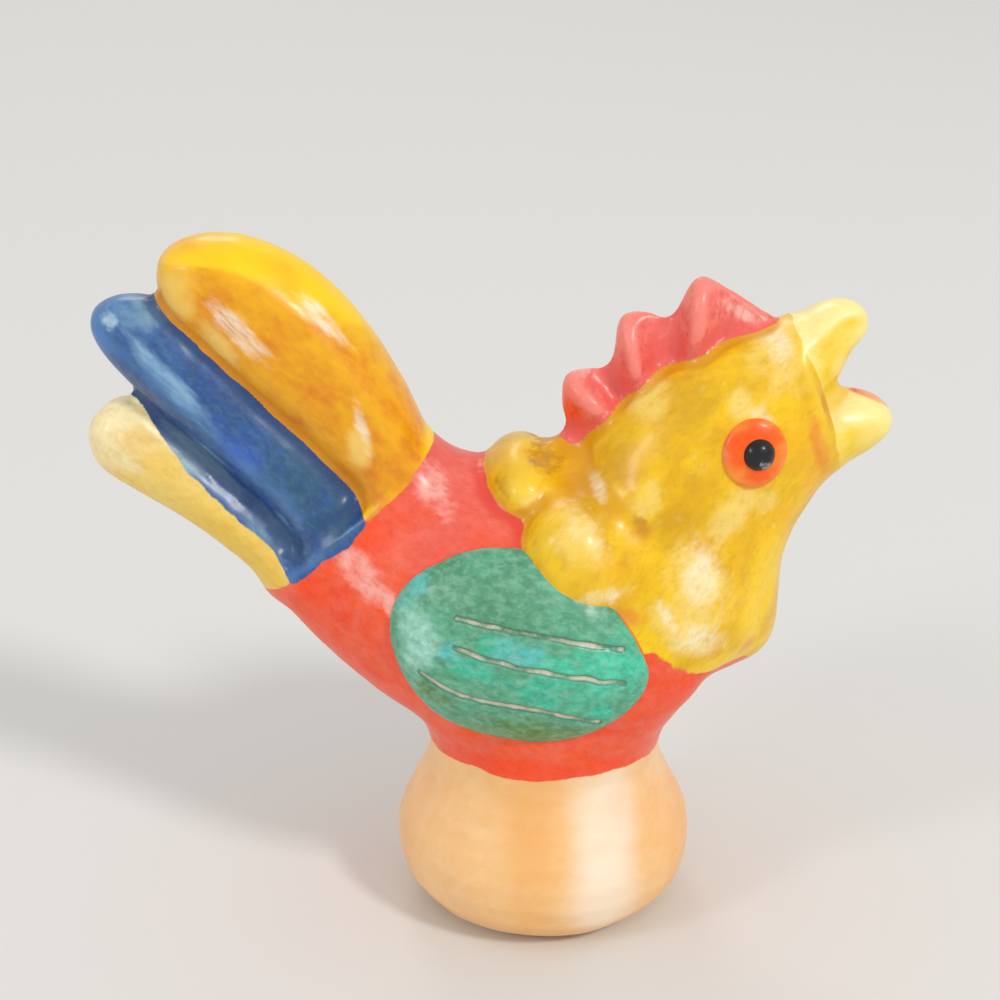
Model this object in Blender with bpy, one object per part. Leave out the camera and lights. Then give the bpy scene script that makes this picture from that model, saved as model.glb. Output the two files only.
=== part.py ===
"""Hand-built pottery rooster on a hollow bell foot.

The bird is put together the way a potter does it: a hollow body on a thrown foot, a hollow neck and
head set on the body, and wings, tail rolls, comb, beak, hackle lobes and eyes luted on with slip.
Every seat is cut by the neighbour that it sits on, and the slip joint between them is a thin gap.

Sizes are in millimetres. The bird looks along +X, the table is at Z = 0, and +Y is the bird's left.
"""

import math

import bmesh
import bpy
from mathutils import Matrix, Vector
from mathutils.bvhtree import BVHTree

MM = 0.001

# Walls and joints
SLIP_GAP = 0.3
BODY_WALL = 5.5
NECK_WALL = 5.0
FOOT_WALL = 5.5
VENT_RADIUS = 1.5
PAD_KEY = 1.5
SEAT_MARGIN = 12.0

# The foot's axis lies this far in front of the origin, which is under the middle of the bird's box
FOOT_X = 11.75

# Foot: it rests on a ring, swells to its flare and draws in to the waist that carries the body
FOOT_HEIGHT = 36.5
FOOT_FLARE_HEIGHT = 15.5
FOOT_FLARE_RADIUS = 32.3
FOOT_WAIST_RADIUS = 25.2
FOOT_REST_RADIUS = 17.5
FOOT_REST_WIDTH = 5.0
FOOT_EDGE_FULLNESS = 2.3

# Body: pairs of points on its back and belly, as X from the foot's axis and height above the waist,
# then the share of the body's width that it has there. The first pair is the flat seat of the tail.
BODY_HALF_WIDTH = 28.5
BODY_BELLY_FULLNESS = 2.35
BODY_ROWS = (
    (-24.3, 68.8, -59.2, 37.8, 0.46),
    (-15.5, 65.5, -46.0, 23.5, 0.72),
    (-4.0, 63.0, -31.5, 12.0, 0.93),
    (8.0, 60.5, -13.5, 3.0, 1.0),
    (18.0, 57.0, 4.0, 0.5, 1.0),
    (27.0, 52.5, 18.5, 4.0, 0.93),
    (34.5, 46.0, 29.0, 13.0, 0.78),
    (40.0, 39.5, 37.5, 23.0, 0.56),
)

# Neck and head: pairs of points on the crown and throat, measured from the middle of the hackle.
# The last pair is the flat face that the beak sits on.
NECK_X = 27.0
NECK_RISE = 46.0
NECK_HALF_WIDTH = 0.754 * BODY_HALF_WIDTH
NECK_ROWS = (
    (-18.0, 8.0, 6.0, -24.0, 0.80),
    (-18.5, 22.0, 18.3, -21.5, 1.0),
    (-14.0, 29.8, 20.8, -11.0, 0.95),
    (-6.0, 37.2, 23.2, 0.5, 0.87),
    (6.5, 43.8, 27.5, 10.2, 0.77),
    (22.3, 49.0, 33.4, 18.4, 0.57),
)

# Comb: share of the way along the crown, lean from upright towards the beak, and height there
COMB_HALF_THICKNESS = 4.2
COMB_ROOT_DEPTH = 5.0
COMB_HEIGHT = 15.2
COMB_ROWS = (
    (0.22, -105.0, 0.16),
    (0.29, -66.0, 0.48),
    (0.38, -50.0, 0.76),
    (0.45, -42.0, 0.62),
    (0.50, -28.0, 0.50),
    (0.56, -18.0, 0.92),
    (0.63, -12.0, 0.84),
    (0.69, -5.0, 0.64),
    (0.75, 0.0, 1.0),
    (0.82, 5.0, 0.74),
    (0.90, 24.0, 0.28),
    (0.96, 40.0, 0.05),
)

# Beak halves: pairs of points on their upper and lower edges, as distance out from the face and
# height along it from its middle, then half width
BEAK_UPPER_ROWS = (
    (-1.7, 15.2, -1.7, -0.4, 11.0),
    (4.3, 16.8, 4.2, 1.0, 9.5),
    (9.8, 17.0, 9.2, 5.8, 6.8),
    (15.0, 14.2, 14.2, 8.8, 4.4),
)
BEAK_LOWER_ROWS = (
    (-1.5, 1.3, -3.1, -16.0, 11.0),
    (6.0, -1.6, 2.5, -16.3, 9.0),
    (11.0, -4.6, 8.0, -15.3, 7.0),
    (14.0, -8.4, 13.0, -13.0, 4.6),
)

# Tail rolls: pairs of points on their upper and lower edges, as distance out from the body's flat
# tail seat and height along it from its middle, then half width
TAIL_UPPER_ROWS = (
    (-3.0, 22.5, -3.0, 4.8, 11.0),
    (11.4, 27.7, 7.2, 5.2, 12.0),
    (26.2, 30.8, 20.8, 4.7, 12.5),
    (42.1, 30.6, 34.6, 3.7, 12.0),
    (56.5, 24.7, 48.4, 3.2, 10.5),
    (67.4, 12.3, 59.6, 2.6, 8.5),
)
TAIL_MIDDLE_ROWS = (
    (-3.0, 7.0, -3.0, -14.0, 10.5),
    (16.0, 7.2, 12.4, -11.4, 10.5),
    (30.4, 6.0, 24.7, -12.3, 10.0),
    (45.9, 5.0, 37.0, -13.0, 9.5),
    (59.5, 2.3, 49.0, -13.4, 8.0),
    (67.6, -6.4, 62.6, -13.3, 6.0),
)
TAIL_LOWER_ROWS = (
    (-3.0, -10.5, -3.0, -22.8, 8.5),
    (13.1, -10.7, 9.2, -24.0, 8.5),
    (24.9, -12.3, 20.7, -25.9, 8.0),
    (36.7, -13.2, 31.1, -28.9, 7.5),
    (47.7, -16.1, 39.4, -31.1, 6.5),
    (51.4, -24.5, 45.6, -31.0, 5.0),
)

# Hackle lobes: X, Y and Z from the middle of the hackle, half sizes, lean towards +X and turn about Z.
# Y and the half size along it are shares of the body's half width.
HACKLE_BACK = (-31.5, 0.0, 14.5, 9.5, 0.579, 9.0, 0.0, 0.0)
HACKLE_REAR = (-22.0, 0.614, 1.5, 12.0, 0.368, 14.5, -10.0, 25.0)
HACKLE_FRONT = (-1.0, 0.579, -9.5, 14.0, 0.351, 15.5, -6.0, -18.0)
HACKLE_CHEST = (13.0, 0.0, -15.0, 8.5, 0.404, 11.5, 0.0, 0.0)

# Wings: the outline is X and Z from the wing's middle, from the shoulder end over the top
WING_X = -6.0
WING_RISE = 32.5
WING_THICKNESS = 4.0
WING_OUTLINE = (
    (-26.3, 1.5),
    (-22.5, 13.5),
    (-10.5, 20.3),
    (3.0, 20.3),
    (16.0, 13.5),
    (26.6, -3.5),
    (18.0, -16.5),
    (0.5, -20.8),
    (-17.5, -15.0),
)

# Eyes: a flat disc of clay with a bead for the pupil
EYE_X = 40.9
EYE_RISE = 72.0
EYE_HALF_LENGTH = 6.9
EYE_HALF_HEIGHT = 7.4
EYE_THICKNESS = 1.6
PUPIL_FORWARD = 0.5
PUPIL_RADIUS = 3.7
PUPIL_THICKNESS = 1.8

# Sections of the neck and the tail rolls are a little squarer than an oval, whose fullness is 2
ROLL_FULLNESS = 2.2
PAD_FULLNESS = 2.6

# Shares of a sweep's length that its rounded ends take
BODY_CAP = 0.16
COMB_CAP = 0.06
BEAK_CAP = 0.2

# How finely the shapes are cut. The neck's hollow has few rings, as its first ones would cross
LARGE_SIDES = 28
SMALL_SIDES = 18
FOOT_SIDES = 32
COMB_SIDES = 14
PUPIL_SIDES = 14
VENT_SIDES = 10
BODY_RINGS = 22
NECK_RINGS = 14
NECK_HOLLOW_RINGS = 8
TAIL_RINGS = 12
COMB_RINGS = 30
BEAK_RINGS = 8
EGG_RINGS = 10
FOOT_EDGE_STEPS = 7
FOOT_WAIST_STEPS = 6
WING_STEPS = 6
EYE_STEPS = 4
CREASE_DEGREES = 40

RED = (0.80, 0.10, 0.03)
CREAM = (0.90, 0.58, 0.28)
YELLOW = (0.85, 0.55, 0.02)
STRAW = (0.88, 0.68, 0.20)
BLUE = (0.05, 0.14, 0.38)
GREEN = (0.05, 0.45, 0.28)
CORAL = (0.82, 0.16, 0.12)
ORANGE = (0.95, 0.22, 0.02)
BLACK = (0.02, 0.02, 0.03)


def clear_scene():
    for old in list(bpy.data.objects):
        bpy.data.objects.remove(old, do_unlink=True)


def paint(name, colour, roughness=0.35):
    material = bpy.data.materials.new(name)
    material.use_nodes = True
    shader = material.node_tree.nodes["Principled BSDF"]
    shader.inputs["Base Color"].default_value = (*colour, 1.0)
    shader.inputs["Roughness"].default_value = roughness
    shader.inputs["Metallic"].default_value = 0.0
    return material


def smooth_row(rows, t):
    """One row of numbers on the smooth curve through the rows, for t from 0 to 1."""
    place = t * (len(rows) - 1)
    index = min(int(place), len(rows) - 2)
    before = rows[max(index - 1, 0)]
    after = rows[min(index + 2, len(rows) - 1)]
    return blend_rows(before, rows[index], rows[index + 1], after, place - index)


def blend_rows(before, start, end, after, u):
    row = []
    for a, b, c, d in zip(before, start, end, after):
        row.append(0.5 * (2 * b + (c - a) * u + (2 * a - 5 * b + 4 * c - d) * u**2
                          + (3 * b - a - 3 * c + d) * u**3))
    return row


def closed_curve(points, count):
    """Evenly numbered points on the smooth closed curve through the given points."""
    curve = []
    for step in range(count):
        place = step * len(points) / count
        index = int(place)
        around = [points[(index + shift) % len(points)] for shift in (-1, 0, 1, 2)]
        curve.append(blend_rows(*around, place - index))
    return curve


def oval(half_length, half_height, count):
    angles = [2 * math.pi * step / count for step in range(count)]
    return [(half_length * math.cos(angle), half_height * math.sin(angle)) for angle in angles]


def end_rounding(t, start_cap, end_cap):
    """Share of a section's full size near a rounded end. A cap is the share of the length it takes."""
    size = 1.0
    if start_cap and t < start_cap:
        size *= math.sqrt(max(0.0, 1 - (1 - t / start_cap) ** 2))
    if end_cap and t > 1 - end_cap:
        size *= math.sqrt(max(0.0, 1 - (1 - (1 - t) / end_cap) ** 2))
    return size


def ring_shares(rings, start_cap, end_cap):
    """Places of the rings along a sweep, closer together towards a rounded end."""
    shares = []
    for ring in range(rings + 1):
        t = ring / rings
        if start_cap and end_cap:
            t = (1 - math.cos(math.pi * t)) / 2
        elif end_cap:
            t = math.sin(math.pi / 2 * t)
        shares.append(t)
    return shares


def swept(rows, sides, rings, start_cap=0.0, end_cap=0.0, fullness=2.0, lower_fullness=2.0):
    """A closed mesh through oval sections that stand across the bird's middle plane.

    A row is (upper x, upper z, lower x, lower z, half width). Fullness 2 is a true oval, and more is
    squarer; the half of a section below its middle has a fullness of its own.
    """
    mesh = bmesh.new()
    loops = []
    for t in ring_shares(rings, start_cap, end_cap):
        upper_x, upper_z, lower_x, lower_z, wide = smooth_row(rows, t)
        middle = Vector(((upper_x + lower_x) / 2, 0, (upper_z + lower_z) / 2))
        rise = Vector((upper_x, 0, upper_z)) - middle
        size = end_rounding(t, start_cap, end_cap)
        if size < 1e-6:
            loops.append([mesh.verts.new(middle * MM)])
            continue
        loop = []
        for side in range(sides):
            angle = 2 * math.pi * side / sides
            power = 2 / (fullness if math.cos(angle) > 0 else lower_fullness)
            up = math.copysign(abs(math.cos(angle)) ** power, math.cos(angle))
            out = math.copysign(abs(math.sin(angle)) ** power, math.sin(angle))
            point = middle + rise * up * size + Vector((0, wide * out * size, 0))
            loop.append(mesh.verts.new(point * MM))
        loops.append(loop)
    bridge(mesh, loops)
    for end in (loops[0], loops[-1]):
        if len(end) > 1:
            mesh.faces.new(end)
    return finished(mesh)


def bridge(mesh, loops):
    """Faces between neighbouring loops. A loop of one point closes to a fan."""
    for first, second in zip(loops, loops[1:]):
        count = max(len(first), len(second))
        for side in range(count):
            after = (side + 1) % count
            corners = (first[side % len(first)], first[after % len(first)],
                       second[after % len(second)], second[side % len(second)])
            mesh.faces.new(list(dict.fromkeys(corners)))


def finished(mesh):
    """Mesh data in triangles, because a Boolean can leave slivers where a face isn't flat."""
    bmesh.ops.triangulate(mesh, faces=mesh.faces)
    bmesh.ops.recalc_face_normals(mesh, faces=mesh.faces)
    data = bpy.data.meshes.new("shape")
    mesh.to_mesh(data)
    mesh.free()
    data.shade_smooth()
    data.set_sharp_from_angle(angle=math.radians(CREASE_DEGREES))
    return data


def turned(profile, sides):
    """A closed mesh turned about the Z axis from a closed profile of (radius, height)."""
    mesh = bmesh.new()
    loops = []
    for side in range(sides):
        angle = 2 * math.pi * side / sides
        loop = []
        for radius, height in profile:
            point = Vector((radius * math.cos(angle), radius * math.sin(angle), height))
            loop.append(mesh.verts.new(point * MM))
        loops.append(loop)
    bridge(mesh, loops + loops[:1])
    return finished(mesh)


def grown(data, distance):
    """A copy of a mesh with its surface moved outwards in millimetres, or inwards if negative."""
    copy = data.copy()
    normals = [vertex.normal.copy() for vertex in data.vertices]
    for vertex, normal in zip(copy.vertices, normals):
        vertex.co += normal * distance * MM
    return copy


def point_below(surface, tree, side, x, z):
    """The point and smooth normal of a surface, looked at from one side of the bird along Y."""
    hit, _, index, _ = tree.ray_cast(Vector((x * MM, side * 0.2, z * MM)), Vector((0, -side, 0)))
    if hit is None:
        hit, _, index, _ = tree.find_nearest(Vector((x * MM, side * 0.02, z * MM)))
    normal = Vector()
    for corner in surface.polygons[index].vertices:
        vertex = surface.vertices[corner]
        normal += vertex.normal / max((vertex.co - hit).length, MM)
    return hit, normal.normalized()


def pad(surface, side, x, z, outline, thickness, steps, fullness=PAD_FULLNESS):
    """A domed pad that follows the surface below it.

    It starts a little under that surface, so its seat can be cut.
    """
    corners = [vertex.co for vertex in surface.vertices]
    tree = BVHTree.FromPolygons(corners, [face.vertices for face in surface.polygons])
    mesh = bmesh.new()
    top = []
    underside = []
    for step in range(steps + 1):
        share = math.sin(math.pi / 2 * step / steps)
        crown = (thickness + PAD_KEY) * (1 - share**fullness) ** (1 / fullness) - PAD_KEY
        spots = outline if step else outline[:1]
        top_loop = []
        under_loop = []
        for across, up in spots:
            hit, normal = point_below(surface, tree, side, x + across * share, z + up * share)
            under_loop.append(mesh.verts.new(hit - normal * PAD_KEY * MM))
            if step < steps:
                top_loop.append(mesh.verts.new(hit + normal * crown * MM))
        underside.append(under_loop)
        top.append(top_loop if step < steps else under_loop)
    bridge(mesh, top)
    bridge(mesh, underside)
    return finished(mesh)


def clay_egg(lobe, side):
    """The egg of clay for a hackle lobe on one side. It leans about Y and turns about Z, in degrees."""
    x, y_share, z, half_x, half_y_share, half_z, lean, spin = lobe
    y = side * y_share * BODY_HALF_WIDTH
    half_y = half_y_share * BODY_HALF_WIDTH
    mesh = bmesh.new()
    turn = Matrix.Rotation(math.radians(side * spin), 4, "Z") @ Matrix.Rotation(math.radians(lean), 4, "Y")
    place = Matrix.Translation(Vector((NECK_X + x, y, FOOT_HEIGHT + NECK_RISE + z)) * MM)
    shape = Matrix.Diagonal((half_x * MM, half_y * MM, half_z * MM, 1))
    bmesh.ops.create_uvsphere(mesh, u_segments=SMALL_SIDES, v_segments=EGG_RINGS, radius=1,
                              matrix=place @ turn @ shape)
    return finished(mesh)


def shifted(rows, x, z, share_of=1.0):
    """Rows of paired points moved by (x, z), with the last number multiplied to a half width."""
    return [(ux + x, uz + z, lx + x, lz + z, wide * share_of) for ux, uz, lx, lz, wide in rows]


def on_seat(rows, seat):
    """Rows of paired points, given as (out, up) from the middle of a flat seat, in the bird's X and Z.

    The seat is a row whose upper and lower points end it; out is the way its outer face looks.
    """
    upper_x, upper_z, lower_x, lower_z, _ = seat
    middle = Vector(((upper_x + lower_x) / 2, (upper_z + lower_z) / 2))
    up = Vector((upper_x - lower_x, upper_z - lower_z)).normalized()
    out = Vector((up.y, -up.x)) if middle.x > 0 else Vector((-up.y, up.x))
    placed = []
    for upper_out, upper_up, lower_out, lower_up, wide in rows:
        high = middle + out * upper_out + up * upper_up
        low = middle + out * lower_out + up * lower_up
        placed.append((high.x, high.y, low.x, low.y, wide))
    return placed


def body_rows():
    return shifted(BODY_ROWS, 0, FOOT_HEIGHT, BODY_HALF_WIDTH)


def neck_rows():
    return shifted(NECK_ROWS, NECK_X, FOOT_HEIGHT + NECK_RISE, NECK_HALF_WIDTH)


def neck_shape(rings):
    return swept(neck_rows(), LARGE_SIDES, rings, fullness=ROLL_FULLNESS, lower_fullness=ROLL_FULLNESS)


def foot_profile():
    """Outer wall from the rest ring up into the body, and the inner wall back down."""
    outer = []
    inner = []
    rest_inner = FOOT_REST_RADIUS - FOOT_REST_WIDTH
    for step in range(FOOT_EDGE_STEPS + 1):
        angle = math.pi / 2 * step / FOOT_EDGE_STEPS
        out = math.sin(angle) ** (2 / FOOT_EDGE_FULLNESS)
        up = 1 - math.cos(angle) ** (2 / FOOT_EDGE_FULLNESS)
        outer.append((FOOT_REST_RADIUS + (FOOT_FLARE_RADIUS - FOOT_REST_RADIUS) * out,
                      FOOT_FLARE_HEIGHT * up))
        if step % 2 == 0:
            flare_inner = FOOT_FLARE_RADIUS - FOOT_WALL
            inner.append((rest_inner + (flare_inner - rest_inner) * out, FOOT_FLARE_HEIGHT * up))
    for step in range(1, FOOT_WAIST_STEPS + 1):
        t = step / FOOT_WAIST_STEPS
        blend = t * t * (3 - 2 * t)
        outer.append((FOOT_FLARE_RADIUS + (FOOT_WAIST_RADIUS - FOOT_FLARE_RADIUS) * blend,
                      FOOT_FLARE_HEIGHT + (FOOT_HEIGHT - FOOT_FLARE_HEIGHT) * t))
    inner.append((FOOT_WAIST_RADIUS - FOOT_WALL, FOOT_HEIGHT))
    outer.append((FOOT_WAIST_RADIUS, FOOT_HEIGHT + SEAT_MARGIN))
    inner.append((FOOT_WAIST_RADIUS - FOOT_WALL, FOOT_HEIGHT + SEAT_MARGIN))
    return outer + inner[::-1]


def comb_rows():
    """Sections of the comb that stand on the crown line of the neck and head."""
    crown = neck_rows()
    rows = []
    for along, lean, share in COMB_ROWS:
        crown_x, crown_z, _, _, _ = smooth_row(crown, along)
        rise = Vector((math.sin(math.radians(lean)), math.cos(math.radians(lean))))
        high = Vector((crown_x, crown_z)) + rise * COMB_HEIGHT * share
        low = Vector((crown_x, crown_z)) - rise * COMB_ROOT_DEPTH
        rows.append((high.x, high.y, low.x, low.y, COMB_HALF_THICKNESS))
    return rows


def vent_pin():
    mesh = bmesh.new()
    middle = Matrix.Translation((0, 0, (FOOT_HEIGHT + BODY_WALL / 2) * MM))
    bmesh.ops.create_cone(mesh, cap_ends=True, segments=VENT_SIDES, radius1=VENT_RADIUS * MM,
                          radius2=VENT_RADIUS * MM, depth=4 * BODY_WALL * MM, matrix=middle)
    return finished(mesh)


def add_piece(name, data, material, figurine):
    data.name = name
    piece = bpy.data.objects.new(name, data)
    bpy.context.scene.collection.objects.link(piece)
    data.materials.append(material)
    piece.parent = figurine
    return piece


def add_cutter(name, data, figurine):
    cutter = bpy.data.objects.new(name, data)
    bpy.context.scene.collection.objects.link(cutter)
    cutter.parent = figurine
    cutter.hide_render = True
    cutter.display_type = "WIRE"
    return cutter


def combine(piece, operation, *others):
    """One Boolean with all the other shapes, because a row of them can lose a thin lobe or wing."""
    group = bpy.data.collections.new(piece.name + "_" + operation.lower())
    for other in others:
        group.objects.link(other)
    boolean = piece.modifiers.new(operation.lower(), "BOOLEAN")
    boolean.operation = operation
    boolean.solver = "EXACT"
    boolean.operand_type = "COLLECTION"
    boolean.collection = group


def cut(piece, *cutters):
    combine(piece, "DIFFERENCE", *cutters)


def build_trunk(figurine, body_mesh, neck_mesh):
    """Foot, body and neck, with their hollows. Gives the seats that later pieces are cut to."""
    foot_mesh = turned(foot_profile(), FOOT_SIDES)
    body_seat = add_cutter("body_seat", grown(body_mesh, SLIP_GAP), figurine)
    neck_seat = add_cutter("neck_seat", grown(neck_mesh, SLIP_GAP), figurine)
    foot_seat = add_cutter("foot_seat", grown(foot_mesh, SLIP_GAP), figurine)
    body_hollow = add_cutter("body_hollow", grown(body_mesh, -BODY_WALL), figurine)
    neck_hollow = add_cutter("neck_hollow", grown(neck_shape(NECK_HOLLOW_RINGS), -NECK_WALL), figurine)
    vent = add_cutter("vent_pin", vent_pin(), figurine)
    body = add_piece("body", body_mesh, paint("red_paint", RED), figurine)
    cut(body, body_hollow, neck_hollow, vent)
    neck = add_piece("neck_and_head", neck_mesh, paint("hackle_yellow", YELLOW), figurine)
    cut(neck, body_seat, neck_hollow)
    foot = add_piece("foot", foot_mesh, paint("cream_slip", CREAM), figurine)
    cut(foot, body_seat)
    return body_seat, neck_seat, foot_seat


def build_tail(figurine, body_seat):
    seat = body_rows()[0]
    seats = [body_seat]
    rolls = (
        ("tail_upper_roll", TAIL_UPPER_ROWS, YELLOW, 0.14),
        ("tail_middle_roll", TAIL_MIDDLE_ROWS, BLUE, 0.12),
        ("tail_lower_roll", TAIL_LOWER_ROWS, STRAW, 0.16),
    )
    for name, rows, colour, cap in rolls:
        roll = swept(on_seat(rows, seat), SMALL_SIDES, TAIL_RINGS, end_cap=cap,
                     fullness=ROLL_FULLNESS, lower_fullness=ROLL_FULLNESS)
        next_seat = add_cutter(name + "_seat", grown(roll, SLIP_GAP), figurine)
        cut(add_piece(name, roll, paint(name + "_paint", colour), figurine), *seats)
        seats = [body_seat, next_seat]


def build_head_details(figurine, neck_mesh, neck_seat):
    comb = swept(comb_rows(), COMB_SIDES, COMB_RINGS, start_cap=COMB_CAP, end_cap=COMB_CAP)
    cut(add_piece("comb", comb, paint("comb_coral", CORAL), figurine), neck_seat)
    face = neck_rows()[-1]
    beak_paint = paint("beak_straw", STRAW)
    upper = swept(on_seat(BEAK_UPPER_ROWS, face), SMALL_SIDES, BEAK_RINGS, end_cap=BEAK_CAP)
    upper_seat = add_cutter("beak_upper_seat", grown(upper, SLIP_GAP), figurine)
    cut(add_piece("beak_upper", upper, beak_paint, figurine), neck_seat)
    lower = swept(on_seat(BEAK_LOWER_ROWS, face), SMALL_SIDES, BEAK_RINGS, end_cap=BEAK_CAP)
    cut(add_piece("beak_lower", lower, beak_paint, figurine), neck_seat, upper_seat)
    eye_paint = paint("eye_orange", ORANGE)
    pupil_paint = paint("pupil_black", BLACK, 0.15)
    eye_z = FOOT_HEIGHT + EYE_RISE
    disc = oval(EYE_HALF_LENGTH, EYE_HALF_HEIGHT, SMALL_SIDES)
    bead = oval(PUPIL_RADIUS, PUPIL_RADIUS, PUPIL_SIDES)
    for side, word in ((-1, "right"), (1, "left")):
        eye = pad(neck_mesh, side, EYE_X, eye_z, disc, EYE_THICKNESS, EYE_STEPS)
        eye_seat = add_cutter("eye_seat_" + word, grown(eye, SLIP_GAP), figurine)
        cut(add_piece("eye_" + word, eye, eye_paint, figurine), neck_seat)
        pupil = pad(eye, side, EYE_X + PUPIL_FORWARD, eye_z, bead, PUPIL_THICKNESS, EYE_STEPS,
                    fullness=2.0)
        cut(add_piece("pupil_" + word, pupil, pupil_paint, figurine), eye_seat)


def build_hackle(figurine, body_seat, neck_seat):
    """A ring of six lobes. Gives the seats of the ones that lie over the wings."""
    lobe_paint = paint("lobe_yellow", YELLOW)
    wing_seats = {}
    middle_seats = []
    for name, lobe in (("hackle_lobe_back", HACKLE_BACK), ("hackle_lobe_chest", HACKLE_CHEST)):
        egg = clay_egg(lobe, 1)
        middle_seats.append(add_cutter(name + "_seat", grown(egg, SLIP_GAP), figurine))
        cut(add_piece(name, egg, lobe_paint, figurine), body_seat, neck_seat)
    for side, word in ((-1, "right"), (1, "left")):
        seats = [body_seat, neck_seat, *middle_seats]
        for name, lobe in (("hackle_lobe_rear_", HACKLE_REAR), ("hackle_lobe_front_", HACKLE_FRONT)):
            egg = clay_egg(lobe, side)
            seat = add_cutter(name + word + "_seat", grown(egg, SLIP_GAP), figurine)
            cut(add_piece(name + word, egg, lobe_paint, figurine), *seats)
            seats.append(seat)
        wing_seats[side] = seats[-2:]
    return wing_seats


def build_wings(figurine, body_mesh, trunk_seats, lobe_seats):
    wing_paint = paint("wing_green", GREEN)
    for side, word in ((-1, "right"), (1, "left")):
        outline = closed_curve(WING_OUTLINE, LARGE_SIDES)
        wing = pad(body_mesh, side, WING_X, FOOT_HEIGHT + WING_RISE, outline, WING_THICKNESS,
                   WING_STEPS)
        cut(add_piece("wing_" + word, wing, wing_paint, figurine), *trunk_seats, *lobe_seats[side])


def build():
    clear_scene()
    figurine = bpy.data.objects.new("figurine", None)
    bpy.context.scene.collection.objects.link(figurine)
    figurine.location.x = FOOT_X * MM
    body_mesh = swept(body_rows(), LARGE_SIDES, BODY_RINGS, end_cap=BODY_CAP,
                      lower_fullness=BODY_BELLY_FULLNESS)
    neck_mesh = neck_shape(NECK_RINGS)
    body_seat, neck_seat, foot_seat = build_trunk(figurine, body_mesh, neck_mesh)
    build_tail(figurine, body_seat)
    build_head_details(figurine, neck_mesh, neck_seat)
    lobe_seats = build_hackle(figurine, body_seat, neck_seat)
    build_wings(figurine, body_mesh, (body_seat, foot_seat), lobe_seats)


build()
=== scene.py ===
import math

import bmesh
import bpy
import numpy as np
from mathutils import Matrix, Vector, noise
from mathutils.bvhtree import BVHTree


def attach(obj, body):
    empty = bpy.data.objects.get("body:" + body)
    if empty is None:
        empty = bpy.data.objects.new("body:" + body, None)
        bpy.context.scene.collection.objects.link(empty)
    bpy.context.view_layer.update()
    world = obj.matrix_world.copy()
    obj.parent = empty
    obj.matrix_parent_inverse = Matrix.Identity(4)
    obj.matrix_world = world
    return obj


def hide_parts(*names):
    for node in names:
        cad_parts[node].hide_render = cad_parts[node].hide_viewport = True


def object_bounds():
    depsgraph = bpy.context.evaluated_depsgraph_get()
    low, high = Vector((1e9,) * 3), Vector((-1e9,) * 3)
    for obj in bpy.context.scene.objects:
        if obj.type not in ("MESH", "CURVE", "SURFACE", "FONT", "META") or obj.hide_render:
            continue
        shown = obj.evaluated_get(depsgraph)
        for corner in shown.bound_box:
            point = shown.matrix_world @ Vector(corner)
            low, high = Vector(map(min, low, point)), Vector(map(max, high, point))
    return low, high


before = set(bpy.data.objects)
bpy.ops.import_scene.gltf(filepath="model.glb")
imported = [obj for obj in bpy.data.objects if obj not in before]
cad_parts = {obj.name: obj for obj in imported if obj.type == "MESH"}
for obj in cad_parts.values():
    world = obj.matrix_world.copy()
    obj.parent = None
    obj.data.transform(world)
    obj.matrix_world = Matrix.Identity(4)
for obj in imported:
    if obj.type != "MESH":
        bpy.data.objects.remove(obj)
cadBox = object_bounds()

mm = 0.001
footX = 11.75  # the foot's axis, in front of the middle of the bird
waistZ = 36.5  # height where the body starts
hackleX, hackleZ = footX + 27, waistZ + 46  # middle of the hackle

print("bird: camera, light and floor")

view = {"target": (2.11, 0, 92.1), "distance": 390, "above": 21, "frameWidth": 210, "sensor": 36}
studio = {
    "world": (0.99, 0.99, 0.98, 1), "worldStrength": 0.68, "lampsAimAt": (0, 0, 70),
    "floor": (0.74, 0.73, 0.71, 1), "floorRoughness": 0.8, "floorSize": 8,
}
lights = {
    "key": {"at": (1900, -1900, 2400), "size": 600, "power": 47, "colour": (1, 0.985, 0.96)},
    "fill": {"at": (-2500, -1700, 1800), "size": 700, "power": 18, "colour": (0.97, 0.985, 1)},
    "rim": {"at": (-600, 2600, 2400), "size": 1200, "power": 12, "colour": (1, 1, 1)},
}


def addObject(name, data):
    thing = bpy.data.objects.new(name, data)
    bpy.context.scene.collection.objects.link(thing)
    return thing


camera = addObject("camera", bpy.data.cameras.new("camera"))
tilt = math.radians(view["above"])
away = view["distance"] * Vector((0, -math.cos(tilt), math.sin(tilt)))
camera.location = (Vector(view["target"]) + away) * mm
camera.rotation_euler = (math.pi / 2 - tilt, 0, 0)
camera.data.sensor_width = view["sensor"]
camera.data.lens = view["sensor"] * view["distance"] / view["frameWidth"]
camera.data.clip_start = 0.01
bpy.context.scene.camera = camera

for name, light in lights.items():
    lamp = bpy.data.lights.new(name, "AREA")
    lamp.shape = "DISK"
    lamp.size = light["size"] * mm
    lamp.energy = light["power"]
    lamp.color = light["colour"]
    holder = addObject(name, lamp)
    holder.location = Vector(light["at"]) * mm
    aim = Vector(studio["lampsAimAt"]) * mm - holder.location
    holder.rotation_euler = aim.to_track_quat("-Z", "Y").to_euler()

world = bpy.data.worlds.new("studio")
world.use_nodes = True
world.node_tree.nodes["Background"].inputs["Color"].default_value = studio["world"]
world.node_tree.nodes["Background"].inputs["Strength"].default_value = studio["worldStrength"]
bpy.context.scene.world = world
bpy.context.scene.view_settings.view_transform = "Standard"

bpy.ops.mesh.primitive_plane_add(size=studio["floorSize"])
floor = bpy.context.object
floor.name = "floor"
floorPaint = bpy.data.materials.new("floorPaint")
floorPaint.use_nodes = True
floorShader = floorPaint.node_tree.nodes["Principled BSDF"]
floorShader.inputs["Base Color"].default_value = studio["floor"]
floorShader.inputs["Roughness"].default_value = studio["floorRoughness"]
floor.data.materials.append(floorPaint)


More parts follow.
